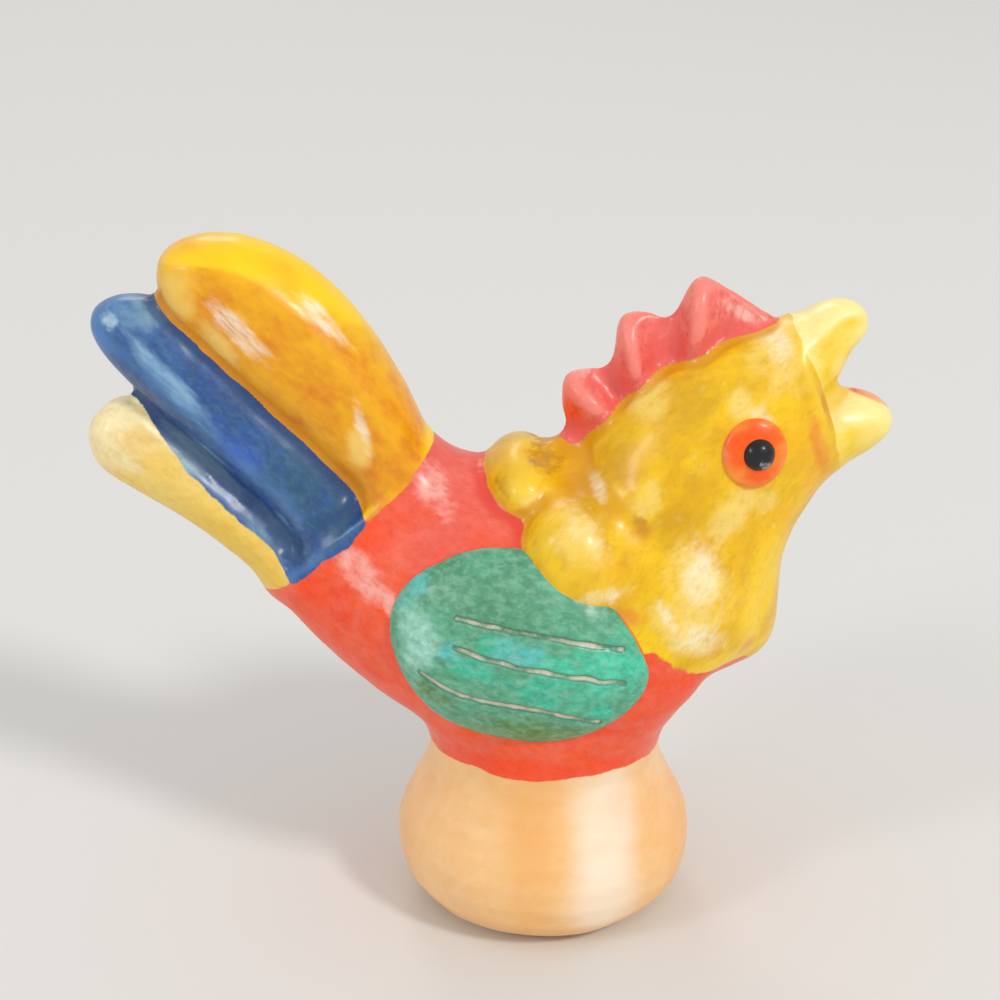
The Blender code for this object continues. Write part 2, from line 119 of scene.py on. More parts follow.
def blendRows(before, start, end, after, u):
    # a smooth curve through rows of numbers, from start at u = 0 to end at u = 1
    return [0.5 * (2 * b + (c - a) * u + (2 * a - 5 * b + 4 * c - d) * u**2
                   + (3 * b - a - 3 * c + d) * u**3)
            for a, b, c, d in zip(before, start, end, after)]


def rowAt(rows, place):
    # the row at a broken place in a list
    index = min(int(place), len(rows) - 2)
    around = [rows[min(max(index + shift, 0), len(rows) - 1)] for shift in (-1, 0, 1, 2)]
    return blendRows(*around, place - index)


def smoothRow(rows, t):
    return rowAt(rows, t * (len(rows) - 1))


def closedCurve(points, count):
    curve = []
    for step in range(count):
        place = step * len(points) / count
        around = [points[(int(place) + shift) % len(points)] for shift in (-1, 0, 1, 2)]
        curve.append(blendRows(*around, place - int(place)))
    return curve


def ringQuads(rings, sides):
    # faces of a tube of rings, closed round each ring
    ring, side = np.meshgrid(np.arange(rings - 1), np.arange(sides), indexing="ij")
    low, after = ring * sides, (side + 1) % sides
    quads = np.stack([low + side, low + after, low + sides + after, low + sides + side], -1)
    return quads.reshape(-1, 4).tolist()


def capShare(t, cap):
    # how far a rounded end has opened
    return math.sqrt(max(0.0, 1 - (1 - t / cap) ** 2)) if t < cap else 1.0


def loft(rows, sides=72, rings=70, startCap=0.0, endCap=0.0, full=(2.0, 2.0), swell=None):
    # a form through oval sections across the middle plane: rows of upper x, z, lower x, z and half width
    points = []
    angles = 2 * np.pi * np.arange(sides) / sides
    cos, sin = np.cos(angles), np.sin(angles)
    power = np.where(cos > 0, 2 / full[0], 2 / full[1])
    for ring in range(rings + 1):
        t = ring / rings
        if startCap and endCap:
            t = (1 - math.cos(math.pi * t)) / 2
        elif endCap:
            t = math.sin(math.pi / 2 * t)
        upX, upZ, lowX, lowZ, wide = smoothRow(rows, t)
        size = max(capShare(t, startCap) * capShare(1 - t, endCap), 0.01)
        up = np.sign(cos) * np.abs(cos) ** power * size
        out = np.sign(sin) * np.abs(sin) ** power * size
        if swell:
            upGain, outGain = swell(t, cos, sin)
            up, out = up * upGain, out * outGain
        x = (upX + lowX) / 2 + (upX - lowX) / 2 * up
        z = (upZ + lowZ) / 2 + (upZ - lowZ) / 2 * up
        points.append(np.stack([x, wide * out, z], -1))
    faces = ringQuads(rings + 1, sides)
    faces.append(list(range(sides - 1, -1, -1)))
    faces.append(list(range(rings * sides, (rings + 1) * sides)))
    return np.concatenate(points), faces


def egg(x, y, z, halfX, halfY, halfZ, lean, spin):
    shape = bmesh.new()
    turn = Matrix.Rotation(math.radians(spin), 4, "Z") @ Matrix.Rotation(math.radians(lean), 4, "Y")
    place = Matrix.Translation((hackleX + x, y, hackleZ + z))
    bmesh.ops.create_uvsphere(shape, u_segments=48, v_segments=32, radius=1,
                              matrix=place @ turn @ Matrix.Diagonal((halfX, halfY, halfZ, 1)))
    points = np.array([vertex.co for vertex in shape.verts])
    faces = [[vertex.index for vertex in face.verts] for face in shape.faces]
    shape.free()
    return points, faces


def moved(rows, x, z, halfWidth):
    return [(ux + x, uz + z, lx + x, lz + z, wide * halfWidth) for ux, uz, lx, lz, wide in rows]


def onSeat(rows, seat):
    # rows given as out and up from the middle of a flat seat
    upX, upZ, lowX, lowZ, _ = seat
    middle = Vector(((upX + lowX) / 2, (upZ + lowZ) / 2))
    up = Vector((upX - lowX, upZ - lowZ)).normalized()
    out = Vector((up.y, -up.x)) if middle.x > footX else Vector((-up.y, up.x))
    placed = []
    for upperOut, upperUp, lowerOut, lowerUp, wide in rows:
        high = middle + out * upperOut + up * upperUp
        low = middle + out * lowerOut + up * lowerUp
        placed.append((high.x, high.y, low.x, low.y, wide))
    return placed


def meshFrom(name, points, faces):
    data = bpy.data.meshes.new(name)
    data.from_pydata([tuple(point) for point in points], [], faces)
    data.update()
    return addObject(name, data)


def plainCopy(thing, name):
    # the modifiers' result as a plain mesh of its own
    graph = bpy.context.evaluated_depsgraph_get()
    data = bpy.data.meshes.new_from_object(thing.evaluated_get(graph), depsgraph=graph)
    data.name = name
    bpy.data.objects.remove(thing)
    return addObject(name, data)


def pointsOf(data, which="co"):
    points = np.empty(len(data.vertices) * 3)
    data.vertices.foreach_get(which, points)
    return points.reshape(-1, 3)


def polyCurves(name, lines):
    # an object of straight-stepped curves through lists of points
    data = bpy.data.curves.new(name, "CURVE")
    data.dimensions = "3D"
    for line in lines:
        spline = data.splines.new("POLY")
        spline.points.add(len(line) - 1)
        for point, place in zip(spline.points, line):
            point.co = (*place, 1)
    return addObject(name, data)


def addNode(tree, kind, given=(), **settings):
    # a node with its settings, and its inputs set to values or fed by other nodes
    node = tree.nodes.new(kind)
    for key, value in settings.items():
        setattr(node, key, value)
    for key, value in dict(given).items():
        if isinstance(value, bpy.types.NodeSocket):
            tree.links.new(value, node.inputs[key])
        else:
            node.inputs[key].default_value = value
    return node


def maths(tree, operation, *values):
    return addNode(tree, "ShaderNodeMath", enumerate(values), operation=operation).outputs[0]


def geometryTree(name, sockets):
    # a tree with named inputs, and one geometry output for finishTree
    tree = bpy.data.node_groups.new(name, "GeometryNodeTree")
    for label, kind in sockets.items():
        tree.interface.new_socket(label, in_out="INPUT", socket_type="NodeSocket" + kind)
    tree.interface.new_socket("Geometry", in_out="OUTPUT", socket_type="NodeSocketGeometry")
    return tree, tree.nodes.new("NodeGroupInput").outputs


def finishTree(tree, geometry, material):
    real = addNode(tree, "GeometryNodeRealizeInstances", {0: geometry})
    painted = addNode(tree, "GeometryNodeSetMaterial", {"Geometry": real.outputs[0], "Material": material})
    addNode(tree, "NodeGroupOutput", {"Geometry": painted.outputs[0]})
    return tree


def runTree(thing, tree, values):
    modifier = thing.modifiers.new(tree.name, "NODES")
    modifier.node_group = tree
    for item in tree.interface.items_tree:
        if item.name in values:
            modifier[item.identifier] = values[item.name]
    return plainCopy(thing, thing.name)


print("bird: foot, turned in Geometry Nodes")

footClay = {
    "flareHeight": 15.5, "flareRadius": 32.3, "waistRadius": 25.2, "restRadius": 17.5, "restWidth": 5.0,
    "edgeFullness": 2.3, "wall": 5.5, "collar": 12, "throwingPitch": 4.6, "throwingDepth": 0.1,
    "alongSteps": 221, "roundSteps": 193,
}


def footProfile():
    v = footClay
    outer, inner = [], []
    restInner = v["restRadius"] - v["restWidth"]
    edgeSteps, flareSteps = 24, 16
    for step in range(edgeSteps + 1):
        angle = math.pi / 2 * step / edgeSteps
        out = math.sin(angle) ** (2 / v["edgeFullness"])
        z = v["flareHeight"] * (1 - math.cos(angle) ** (2 / v["edgeFullness"]))
        outer.append((v["restRadius"] + (v["flareRadius"] - v["restRadius"]) * out, z))
        inner.append((restInner + (v["flareRadius"] - v["wall"] - restInner) * out, z))
    for step in range(1, flareSteps + 1):
        t = step / flareSteps
        blend = t * t * (3 - 2 * t)
        z = v["flareHeight"] + (waistZ - v["flareHeight"]) * t
        outer.append((v["flareRadius"] + (v["waistRadius"] - v["flareRadius"]) * blend, z))
        inner.append((v["flareRadius"] - v["wall"] + (v["waistRadius"] - v["flareRadius"]) * blend, z))
    outer.append((v["waistRadius"], waistZ + v["collar"]))
    inner.append((v["waistRadius"] - v["wall"], waistZ + v["collar"]))
    return [(radius, 0, z) for radius, z in outer + inner[::-1] + outer[:1]]


def latheTree():
    # turns a profile curve (radius, 0, height) about Z, with shallow throwing marks
    tree, given = geometryTree("potterWheel", {
        "Profile": "Object", "Material": "Material", "Axis X": "Float", "Mark Pitch": "Float",
        "Mark Depth": "Float"})
    profile = addNode(tree, "GeometryNodeObjectInfo", {"Object": given["Profile"]})
    grid = addNode(tree, "GeometryNodeMeshGrid", {
        "Size X": 1, "Size Y": 1, "Vertices X": footClay["alongSteps"], "Vertices Y": footClay["roundSteps"]})
    position = tree.nodes.new("GeometryNodeInputPosition").outputs[0]
    place = addNode(tree, "ShaderNodeSeparateXYZ", {0: position}).outputs
    sample = addNode(tree, "GeometryNodeSampleCurve", {
        "Curves": profile.outputs["Geometry"], "Factor": maths(tree, "ADD", place["X"], 0.5)},
        mode="FACTOR", use_all_curves=True)
    onProfile = addNode(tree, "ShaderNodeSeparateXYZ", {0: sample.outputs["Position"]}).outputs
    angle = maths(tree, "MULTIPLY", place["Y"], 2 * math.pi)
    climb = maths(tree, "DIVIDE", onProfile["Z"], given["Mark Pitch"])
    phase = maths(tree, "ADD", maths(tree, "MULTIPLY", climb, 2 * math.pi), angle)
    mark = maths(tree, "MULTIPLY", maths(tree, "SINE", phase), given["Mark Depth"])
    aboveRest = maths(tree, "GREATER_THAN", onProfile["Z"], 0.2)
    radius = maths(tree, "ADD", onProfile["X"], maths(tree, "MULTIPLY", mark, aboveRest))
    across = maths(tree, "MULTIPLY", radius, maths(tree, "COSINE", angle))
    joined = addNode(tree, "ShaderNodeCombineXYZ", {
        "X": maths(tree, "ADD", across, given["Axis X"]),
        "Y": maths(tree, "MULTIPLY", radius, maths(tree, "SINE", angle)), "Z": onProfile["Z"]})
    turned = addNode(tree, "GeometryNodeSetPosition", {
        "Geometry": grid.outputs["Mesh"], "Position": joined.outputs[0]})
    merged = addNode(tree, "GeometryNodeMergeByDistance", {"Distance": 0.01, "Geometry": turned.outputs[0]})
    return finishTree(tree, merged.outputs[0], given["Material"])


def turnedFoot():
    profile = polyCurves("footProfile", [footProfile()])
    foot = meshFrom("footForm", [(0, 0, 0), (1, 0, 0), (0, 1, 0)], [(0, 1, 2)])
    foot = runTree(foot, latheTree(), {
        "Profile": profile, "Material": floorPaint, "Axis X": footX,
        "Mark Pitch": footClay["throwingPitch"], "Mark Depth": footClay["throwingDepth"]})
    points, faces = pointsOf(foot.data), [list(face.vertices) for face in foot.data.polygons]
    bpy.data.objects.remove(foot)
    bpy.data.objects.remove(profile)
    return points, faces


print("bird: body, neck, beak, comb, tail and hackle forms")

bodyClay = {
    "halfWidth": 28.5, "fullness": (2.0, 2.35), "cap": 0.16,
    "rows": (
        (-24.3, 68.8, -59.2, 37.8, 0.46), (-15.5, 65.5, -46.0, 23.5, 0.72), (-4.0, 63.0, -31.5, 12.0, 0.93),
        (8.0, 60.5, -13.5, 3.0, 1.0), (18.0, 57.0, 4.0, 0.5, 1.0), (27.0, 52.5, 18.5, 4.0, 0.93),
        (34.5, 46.0, 29.0, 13.0, 0.78), (40.0, 39.5, 37.5, 23.0, 0.56)),
}
bodyRows = moved(bodyClay["rows"], footX, waistZ, bodyClay["halfWidth"])

neckClay = {
    "halfWidth": 21.5, "fullness": (2.2, 2.2),
    "rows": (
        (-18.0, 8.0, 6.0, -24.0, 0.80), (-18.5, 22.0, 18.3, -21.5, 1.0), (-14.0, 29.8, 20.8, -11.0, 0.95),
        (-6.0, 37.2, 23.2, 0.5, 0.87), (6.5, 43.8, 27.5, 10.2, 0.77), (22.3, 49.0, 33.4, 18.4, 0.57)),
}
neckRows = moved(neckClay["rows"], hackleX, hackleZ, neckClay["halfWidth"])

beakClay = {
    "cap": 0.2, "pressed": 0.3,
    "upper": ((-1.7, 15.2, -1.7, -0.4, 11.0), (4.3, 16.8, 4.2, 1.0, 9.5), (9.8, 17.0, 9.2, 5.8, 6.8),
              (15.0, 14.2, 14.2, 8.8, 4.4)),
    "lower": ((-1.5, 1.3, -3.1, -16.0, 11.0), (6.0, -1.6, 2.5, -16.3, 9.0), (11.0, -4.6, 8.0, -15.3, 7.0),
              (14.0, -8.4, 13.0, -13.0, 4.6)),
}

# rows of place along the neck, lean in degrees and share of the height
combClay = {
    "halfThickness": 4.2, "rootDepth": 5.0, "height": 15.2, "cap": 0.06,
    "pinch": 0.42, "pinchReach": 0.035, "tips": (0.38, 0.56, 0.75),
    "rows": ((0.22, -105, 0.16), (0.29, -66, 0.48), (0.38, -50, 0.76), (0.45, -42, 0.62), (0.50, -28, 0.50),
             (0.56, -18, 0.92), (0.63, -12, 0.84), (0.69, -5, 0.64), (0.75, 0, 1.0), (0.82, 5, 0.74),
             (0.90, 24, 0.28), (0.96, 40, 0.05)),
}


def combRows():
    rows = []
    for along, lean, share in combClay["rows"]:
        crown = Vector(smoothRow(neckRows, along)[:2])
        rise = Vector((math.sin(math.radians(lean)), math.cos(math.radians(lean))))
        high = crown + rise * combClay["height"] * share
        low = crown - rise * combClay["rootDepth"]
        nearTip = max(math.exp(-((along - tip) / combClay["pinchReach"]) ** 2) for tip in combClay["tips"])
        wide = combClay["halfThickness"] * (1 + combClay["pinch"] * (2 * nearTip - 1))
        rows.append((high.x, high.y, low.x, low.y, wide))
    return rows


tailClay = {
    "fullness": (2.2, 2.2), "crest": 0.1, "crestWidth": 0.3,
    "upper": {"cap": 0.14, "crestAt": 0.45, "rows": (
        (-3.0, 22.5, -3.0, 4.8, 11.0), (11.4, 27.7, 7.2, 5.2, 12.0), (26.2, 30.8, 20.8, 4.7, 12.5),
        (42.1, 30.6, 34.6, 3.7, 12.0), (56.5, 24.7, 48.4, 3.2, 10.5), (67.4, 12.3, 59.6, 2.6, 8.5))},
    "middle": {"cap": 0.12, "crestAt": -0.3, "rows": (
        (-3.0, 7.0, -3.0, -14.0, 10.5), (16.0, 7.2, 12.4, -11.4, 10.5), (30.4, 6.0, 24.7, -12.3, 10.0),
        (45.9, 5.0, 37.0, -13.0, 9.5), (59.5, 2.3, 49.0, -13.4, 8.0), (67.6, -6.4, 62.6, -13.3, 6.0))},
    "lower": {"cap": 0.16, "crestAt": 0.1, "rows": (
        (-3.0, -10.5, -3.0, -22.8, 8.5), (13.1, -10.7, 9.2, -24.0, 8.5), (24.9, -12.3, 20.7, -25.9, 8.0),
        (36.7, -13.2, 31.1, -28.9, 7.5), (47.7, -16.1, 39.4, -31.1, 6.5), (51.4, -24.5, 45.6, -31.0, 5.0))},
}


def tailRoll(which):
    roll = tailClay[which]

    def crest(t, cos, sin):
        # a soft ridge along each flank, where the palms pressed the roll
        ridge = np.exp(-((cos - roll["crestAt"]) / tailClay["crestWidth"]) ** 2)
        return 1, 1 + tailClay["crest"] * (ridge - 0.45)

    return loft(onSeat(roll["rows"], bodyRows[0]), endCap=roll["cap"], full=tailClay["fullness"], swell=crest)


# middle, half sizes, lean and spin of each lobe, from the middle of the hackle
hackleClay = {
    "back": (-31.5, 0.0, 14.5, 9.5, 16.5, 9.0, 0.0, 0.0),
    "rear": (-22.0, 17.5, 1.5, 12.0, 10.5, 14.5, -10.0, 25.0),
    "front": (-1.0, 16.5, -9.5, 14.0, 10.0, 15.5, -6.0, -18.0),
    "chest": (12.2, 0.0, -13.8, 8.5, 11.5, 11.5, 0.0, 0.0),
}


def sideEgg(which, side):
    x, y, z, halfX, halfY, halfZ, lean, spin = hackleClay[which]
    return egg(x, side * y, z, halfX, halfY, halfZ, lean, side * spin)


def beakHollow(t, cos, sin):
    # the flanks of the beak are pressed in under a rounded rim
    return 1, 1 - beakClay["pressed"] * np.exp(-((cos - 0.1) / 0.5) ** 2) * (0.4 + 0.6 * t)


beakCap, combCap = beakClay["cap"], combClay["cap"]
forms = {
    "foot": turnedFoot(),
    "body": loft(bodyRows, sides=96, rings=90, endCap=bodyClay["cap"], full=bodyClay["fullness"]),
    "neck_and_head": loft(neckRows, sides=96, full=neckClay["fullness"]),
    "beak_upper": loft(onSeat(beakClay["upper"], neckRows[-1]), rings=40, endCap=beakCap, swell=beakHollow),
    "beak_lower": loft(onSeat(beakClay["lower"], neckRows[-1]), rings=40, endCap=beakCap),
    "comb": loft(combRows(), sides=48, rings=110, startCap=combCap, endCap=combCap, full=(1.8, 2)),
    "tail_upper_roll": tailRoll("upper"),
    "tail_middle_roll": tailRoll("middle"),
    "tail_lower_roll": tailRoll("lower"),
    "hackle_lobe_back": egg(*hackleClay["back"]),
    "hackle_lobe_chest": egg(*hackleClay["chest"]),
    "hackle_lobe_rear_right": sideEgg("rear", -1),
    "hackle_lobe_rear_left": sideEgg("rear", 1),
    "hackle_lobe_front_right": sideEgg("front", -1),
    "hackle_lobe_front_left": sideEgg("front", 1),
}
lobes = [name for name in forms if name.startswith("hackle")]
rolls = ["tail_upper_roll", "tail_middle_roll", "tail_lower_roll"]
beaks = ["beak_upper", "beak_lower"]

print("bird: one clay skin over the forms")

skinClay = {
    "voxel": 0.65, "allOver": 4, "capDepth": 1.6,
    "slip": 0.5,  # radius of the slip in every joint
    "softSlip": 4.5, "softReach": 9.0,  # and where the hackle runs into the neck
}


def voxelSkin(points, faces):
    lump = meshFrom("claySkin", points, faces)
    remesh = lump.modifiers.new("voxels", "REMESH")
    remesh.mode = "VOXEL"
    remesh.voxel_size = skinClay["voxel"]
    skin = plainCopy(lump, "claySkin")
    found = pointsOf(skin.data)
    corners = np.empty(len(skin.data.loops), np.int32)
    skin.data.loops.foreach_get("vertex_index", corners)
    bpy.data.objects.remove(skin)
    return found, corners.reshape(-1, 4)


def useSkin(points, quads):
    global skinPoints, skinQuads, edges, degree
    skinPoints, skinQuads = points, quads
    edges = np.concatenate([quads[:, [k, (k + 1) % 4]] for k in range(4)])
    edges = np.unique(np.sort(edges, axis=1), axis=0)
    degree = np.bincount(edges.ravel(), minlength=len(points))[:, None]


def formsTogether():
    points, faces, start = [], [], 0
    for formPoints, formFaces in forms.values():
        points.append(formPoints)
        faces += [[corner + start for corner in face] for face in formFaces]
        start += len(formPoints)
    return np.concatenate(points), faces


useSkin(*voxelSkin(*formsTogether()))
print("bird: skin of", len(skinPoints), "points and", len(skinQuads), "faces")


def neighbourMean(values):
    total = np.empty_like(values)
    count, (first, second) = len(values), edges.T
    for k in range(values.shape[1]):
        total[:, k] = (np.bincount(first, weights=values[second, k], minlength=count)
                       + np.bincount(second, weights=values[first, k], minlength=count))
    return total / degree


def smoothed(points, rounds, weight=None):
    strength = 0.5 if weight is None else 0.5 * weight[:, None]
    for _ in range(rounds):
        points = points + strength * (neighbourMean(points) - points)
    return points


def evened(values, rounds):
    return smoothed(values[:, None], rounds)[:, 0]


def skinNormals(points):
    a, b, c, d = (points[skinQuads[:, k]] for k in range(4))
    across = np.cross(c - a, d - b)
    normals = np.empty_like(points)
    for k in range(3):
        normals[:, k] = sum(np.bincount(skinQuads[:, j], weights=across[:, k], minlength=len(points))
                            for j in range(4))
    return normals / np.maximum(np.linalg.norm(normals, axis=1)[:, None], 1e-12)


def distancesTo(formName, points, reach=12.0):
    # distance to one form's surface, measured only where it is near
    formPoints, formFaces = forms[formName]
    low, high = formPoints.min(0) - reach, formPoints.max(0) + reach
    near = np.all((points > low) & (points < high), axis=1)
    distances = np.full(len(points), reach)
    tree = BVHTree.FromPolygons(formPoints.tolist(), formFaces)
    for index in np.nonzero(near)[0]:
        distance = tree.find_nearest(points[index].tolist(), reach)[3]
        if distance is not None:
            distances[index] = distance
    return distances


def fillCreases(points):
    # the skin swells and shrinks back by the slip's radius, so that slip stays in the creases
    toLobes = np.min([distancesTo(name, points) for name in lobes], axis=0)
    soft = np.maximum(distancesTo("neck_and_head", points), toLobes)
    radius = skinClay["slip"] + skinClay["softSlip"] * np.exp(-((soft / skinClay["softReach"]) ** 2))
    radius = evened(radius, 20)
    swollen = points + skinNormals(smoothed(points, 2)) * radius[:, None]
    tree = BVHTree.FromPolygons(swollen.tolist(), skinQuads.tolist())
    faceRadius = radius[skinQuads].mean(1)
    useSkin(*voxelSkin(swollen, skinQuads.tolist()))
    radius = np.array([faceRadius[tree.find_nearest(point)[2]] for point in skinPoints.tolist()])
    return skinPoints - skinNormals(smoothed(skinPoints, 6)) * evened(radius, 10)[:, None]


skinPoints = fillCreases(smoothed(skinPoints, 2))
skinPoints = smoothed(skinPoints, skinClay["allOver"])
toForm = {name: distancesTo(name, skinPoints) for name in forms}
print("bird: creases filled on", len(skinPoints), "points")

# slip fills the joints between the clay parts, some more than others
joints = (
    {"between": (["foot"], ["body"]), "reach": 8.0, "rounds": 40},
    {"between": (["neck_and_head"], lobes), "reach": 8.0, "rounds": 50},
    {"between": (["neck_and_head"], ["body"]), "reach": 8.0, "rounds": 40},
    {"between": (["body"], rolls), "reach": 6.0, "rounds": 30},
    {"between": (["neck_and_head"], beaks), "reach": 4.0, "rounds": 15},
    {"between": (["beak_upper"], ["beak_lower"]), "reach": 3.0, "rounds": 8},
)


def nearest(names):
    return np.min([toForm[name] for name in names], axis=0)


def fillJoint(between, reach, rounds):
    first, second = (nearest(names) for names in between)
    outward = skinNormals(smoothed(skinPoints, 25))
    short = np.maximum(reach - first - second, 0)
    filled = skinPoints + outward * (short**2 / (4 * reach))[:, None]
    return smoothed(filled, rounds, np.exp(-(np.maximum(first, second) / (reach * 0.4)) ** 2))


for joint in joints:
    skinPoints = fillJoint(**joint)

# wiped over with a wet finger, on both sides: x, y, z and radius
wiped = {"rounds": 60, "places": (
    (14, -7, 102, 6), (20, -14, 97, 6), (26, -19, 92, 6), (29, -25, 82, 5), (17, -5, 108, 4),
    (35, -22, 88, 5), (31, -15, 107, 8))}


def wipedShare():
    share = np.zeros(len(skinPoints))
    folded = np.abs(skinPoints * (0, 1, 0)) + skinPoints * (1, 0, 1)
    for x, y, z, radius in wiped["places"]:
        away = np.linalg.norm(folded - (x, -y, z), axis=1)
        share = np.maximum(share, np.clip(1.6 - away / radius, 0, 1))
    return share


skinPoints = smoothed(skinPoints, wiped["rounds"], wipedShare())

print("bird: finger marks")

# x, y, z, radius and height of each dab on the right side; the left side's are a little off
fingerMarks = {"leftOff": (0.8, -0.6), "dabs": (
    (30.8, -18.4, 99.4, 4.2, 0.7), (30.1, -19.5, 93.2, 3.2, -0.6), (25.5, -17.5, 96.5, 3.5, -0.35),
    (46.0, -19.6, 100.2, 1.3, -0.3), (48.0, -19.2, 99.0, 1.3, -0.35), (50.2, -18.6, 98.6, 1.3, -0.3),
    (51.0, -18.0, 101.0, 1.2, -0.2), (54.0, -16.5, 98.6, 5.0, -0.45), (47.5, -18.8, 97.5, 4.0, 0.35),
    (41.3, -25.0, 78.3, 6.0, -0.5), (21.7, -9.6, 99.9, 3.0, 0.45), (23.1, -26.9, 82.2, 3.2, 0.35),
    (18.9, -25.2, 93.3, 4.5, 0.3), (10.3, -7.2, 104.5, 3.0, -1.1), (6.1, -15.1, 100.0, 3.0, 0.3),
    (32.5, -6.0, 118.8, 5.0, 0.4), (49.2, -7.0, 126.0, 4.5, 0.35), (42.2, -20.9, 87.2, 5.0, -0.5),
    (-47.0, -11.4, 132.3, 5.0, -0.35), (-37.3, -8.0, 139.5, 4.0, -0.25), (-28.8, -12.2, 116.0, 4.0, 0.25),
    (-10.1, -15.0, 96.0, 6.0, 0.4), (-28.4, -15.4, 84.9, 7.0, -0.35), (20.9, -27.9, 24.4, 8.0, 0.2),
    (-4.0, -24.0, 22.0, 7.0, -0.2),
)}
combMarks = {"radius": 2.6, "ridge": 0.4, "valley": -0.5, "valleys": (0.47, 0.66), "steps": 6}
# size, depth and shift of each uneven layer that the hands leave
unevenClay = ((17.0, 0.32, 3.1), (6.5, 0.13, 9.7), (2.6, 0.035, 21.4))
ventClay = {"radius": 1.75, "edge": 0.5, "rise": 4.0, "reach": 3, "between": (30, 50)}


def combPinches():
    # the finger and thumb leave a rib up to each point of the comb and a dip between the points
    marks = []
    rows = combRows()
    places = [row[0] for row in combClay["rows"]]
    pinches = [(tip, combMarks["ridge"]) for tip in combClay["tips"]]
    pinches += [(valley, combMarks["valley"]) for valley in combMarks["valleys"]]
    for along, lift in pinches:
        upX, upZ, lowX, lowZ, wide = rowAt(rows, np.interp(along, places, range(len(places))))
        for step in range(combMarks["steps"]):
            share = 0.35 + 0.6 * step / (combMarks["steps"] - 1)
            marks.append((lowX + (upX - lowX) * share, -wide * 0.9, lowZ + (upZ - lowZ) * share,
                          combMarks["radius"], lift * 0.45))
    return marks


def handLumps(points):
    height = np.zeros(len(points))
    for side, (offX, offZ) in ((-1, (0, 0)), (1, fingerMarks["leftOff"])):
        for x, y, z, radius, lift in (*fingerMarks["dabs"], *combPinches()):
            away = np.linalg.norm(points - np.array((x + offX, side * -y, z + offZ)), axis=1)
            height += lift * np.exp(-(away / radius) ** 2)
    lumps = np.zeros(len(points))
    for size, depth, shift in unevenClay:
        for index in range(len(points)):
            x, y, z = points[index] / size
            lumps[index] += depth * noise.noise((x + shift, y - shift, z + 2 * shift))
    rest = np.clip(points[:, 2] / 1.5, 0, 1)
    return (height + lumps) * rest


def ventLift(points):
    # the small vent in the roof of the foot
    fromAxis = np.hypot(points[:, 0] - footX, points[:, 1])
    low, high = ventClay["between"]
    inRoof = (fromAxis < ventClay["reach"]) & (points[:, 2] < high) & (points[:, 2] > low)
    share = np.clip((ventClay["radius"] - fromAxis) / ventClay["edge"], 0, 1)
    return np.where(inRoof, ventClay["rise"] * share, 0)


skinPoints = skinPoints + skinNormals(skinPoints) * handLumps(skinPoints)[:, None]
skinPoints[:, 2] += ventLift(skinPoints)

# nothing stands proud of the CAD's box, and the foot rests flat
lowCorner, highCorner = (np.array(corner) / mm for corner in cadBox)
skinPoints = np.clip(skinPoints, lowCorner, highCorner)
skinNormal = skinNormals(skinPoints)

print("bird: where each paint lies")

paintOf = {
    "foot": "cream", "body": "red", "neck_and_head": "hackle", "comb": "comb", "beak_upper": "beak",
    "beak_lower": "beak", "tail_upper_roll": "tailTop", "tail_middle_roll": "tailBlue",
    "tail_lower_roll": "tailStraw", **{name: "hackle" for name in lobes},
}
lineClay = {
    "foot": 39.5,  # height of the red paint's lower edge on the foot
    "footWaves": ((0.45, 5, 0.6), (0.2, 8, 0), (0.12, 17, 0)),  # height, count round the foot and turn
    "hollow": 21.5,  # bare clay inside this radius of the foot
    "hackleMiddle": 29.5, "hackleHalf": (25.0, 18.5),  # yellow between the lobes
    "hem": ((30.5, 26, 76, 7), (27, 27, 80, 6), (53, 12, 70, 5.5)),  # and down to the wing
    # red below it under the chest lobe
    "chest": ((38, 63.5), (42, 62.6), (46, 62.4), (50, 62.8), (52.5, 63), (54.5, 61), (58, 57.5)),
    "tail": ((-8, 112), (-12.6, 105.3), (-16.8, 99.7), (-24.0, 93.0), (-28.4, 87.4), (-34.1, 83.7),
             (-38.2, 79.5), (-43.0, 76.6), (-47.5, 74.3), (-56, 68)),
    "straw": ((-95, 121), (-83.1, 115.4), (-78.6, 107.9), (-75.9, 103.8), (-71.9, 98.8), (-67.8, 94.7),
              (-63.7, 91.0), (-59.6, 87.3), (-56.3, 83.6), (-54.7, 80.3), (-50, 74)),
}


def footFields(fields, x, y, z):
    # red runs a little way down the foot, and the clay is bare inside and underneath
    outward = np.hypot(x - footX, y)
    around = np.arctan2(y, x - footX)
    line = lineClay["foot"]
    for height, count, turn in lineClay["footWaves"]:
        line = line + height * np.sin(count * around + turn)
    cream = line - z
    onFoot = (z < 52) & (outward < 34)
    fields["cream"] = np.where(onFoot, cream, -5)
    fields["red"] = np.where(onFoot, -cream, fields["red"])
    facing = ((x - footX) * skinNormal[:, 0] + y * skinNormal[:, 1]) / np.maximum(outward, 1e-6)
    bare = np.where((facing < -0.2) | (outward < lineClay["hollow"]), 3, np.where(z < 2, 2.0 - 9 * z, -3))
    fields["raw"] = np.where(z < 50, bare, -3)


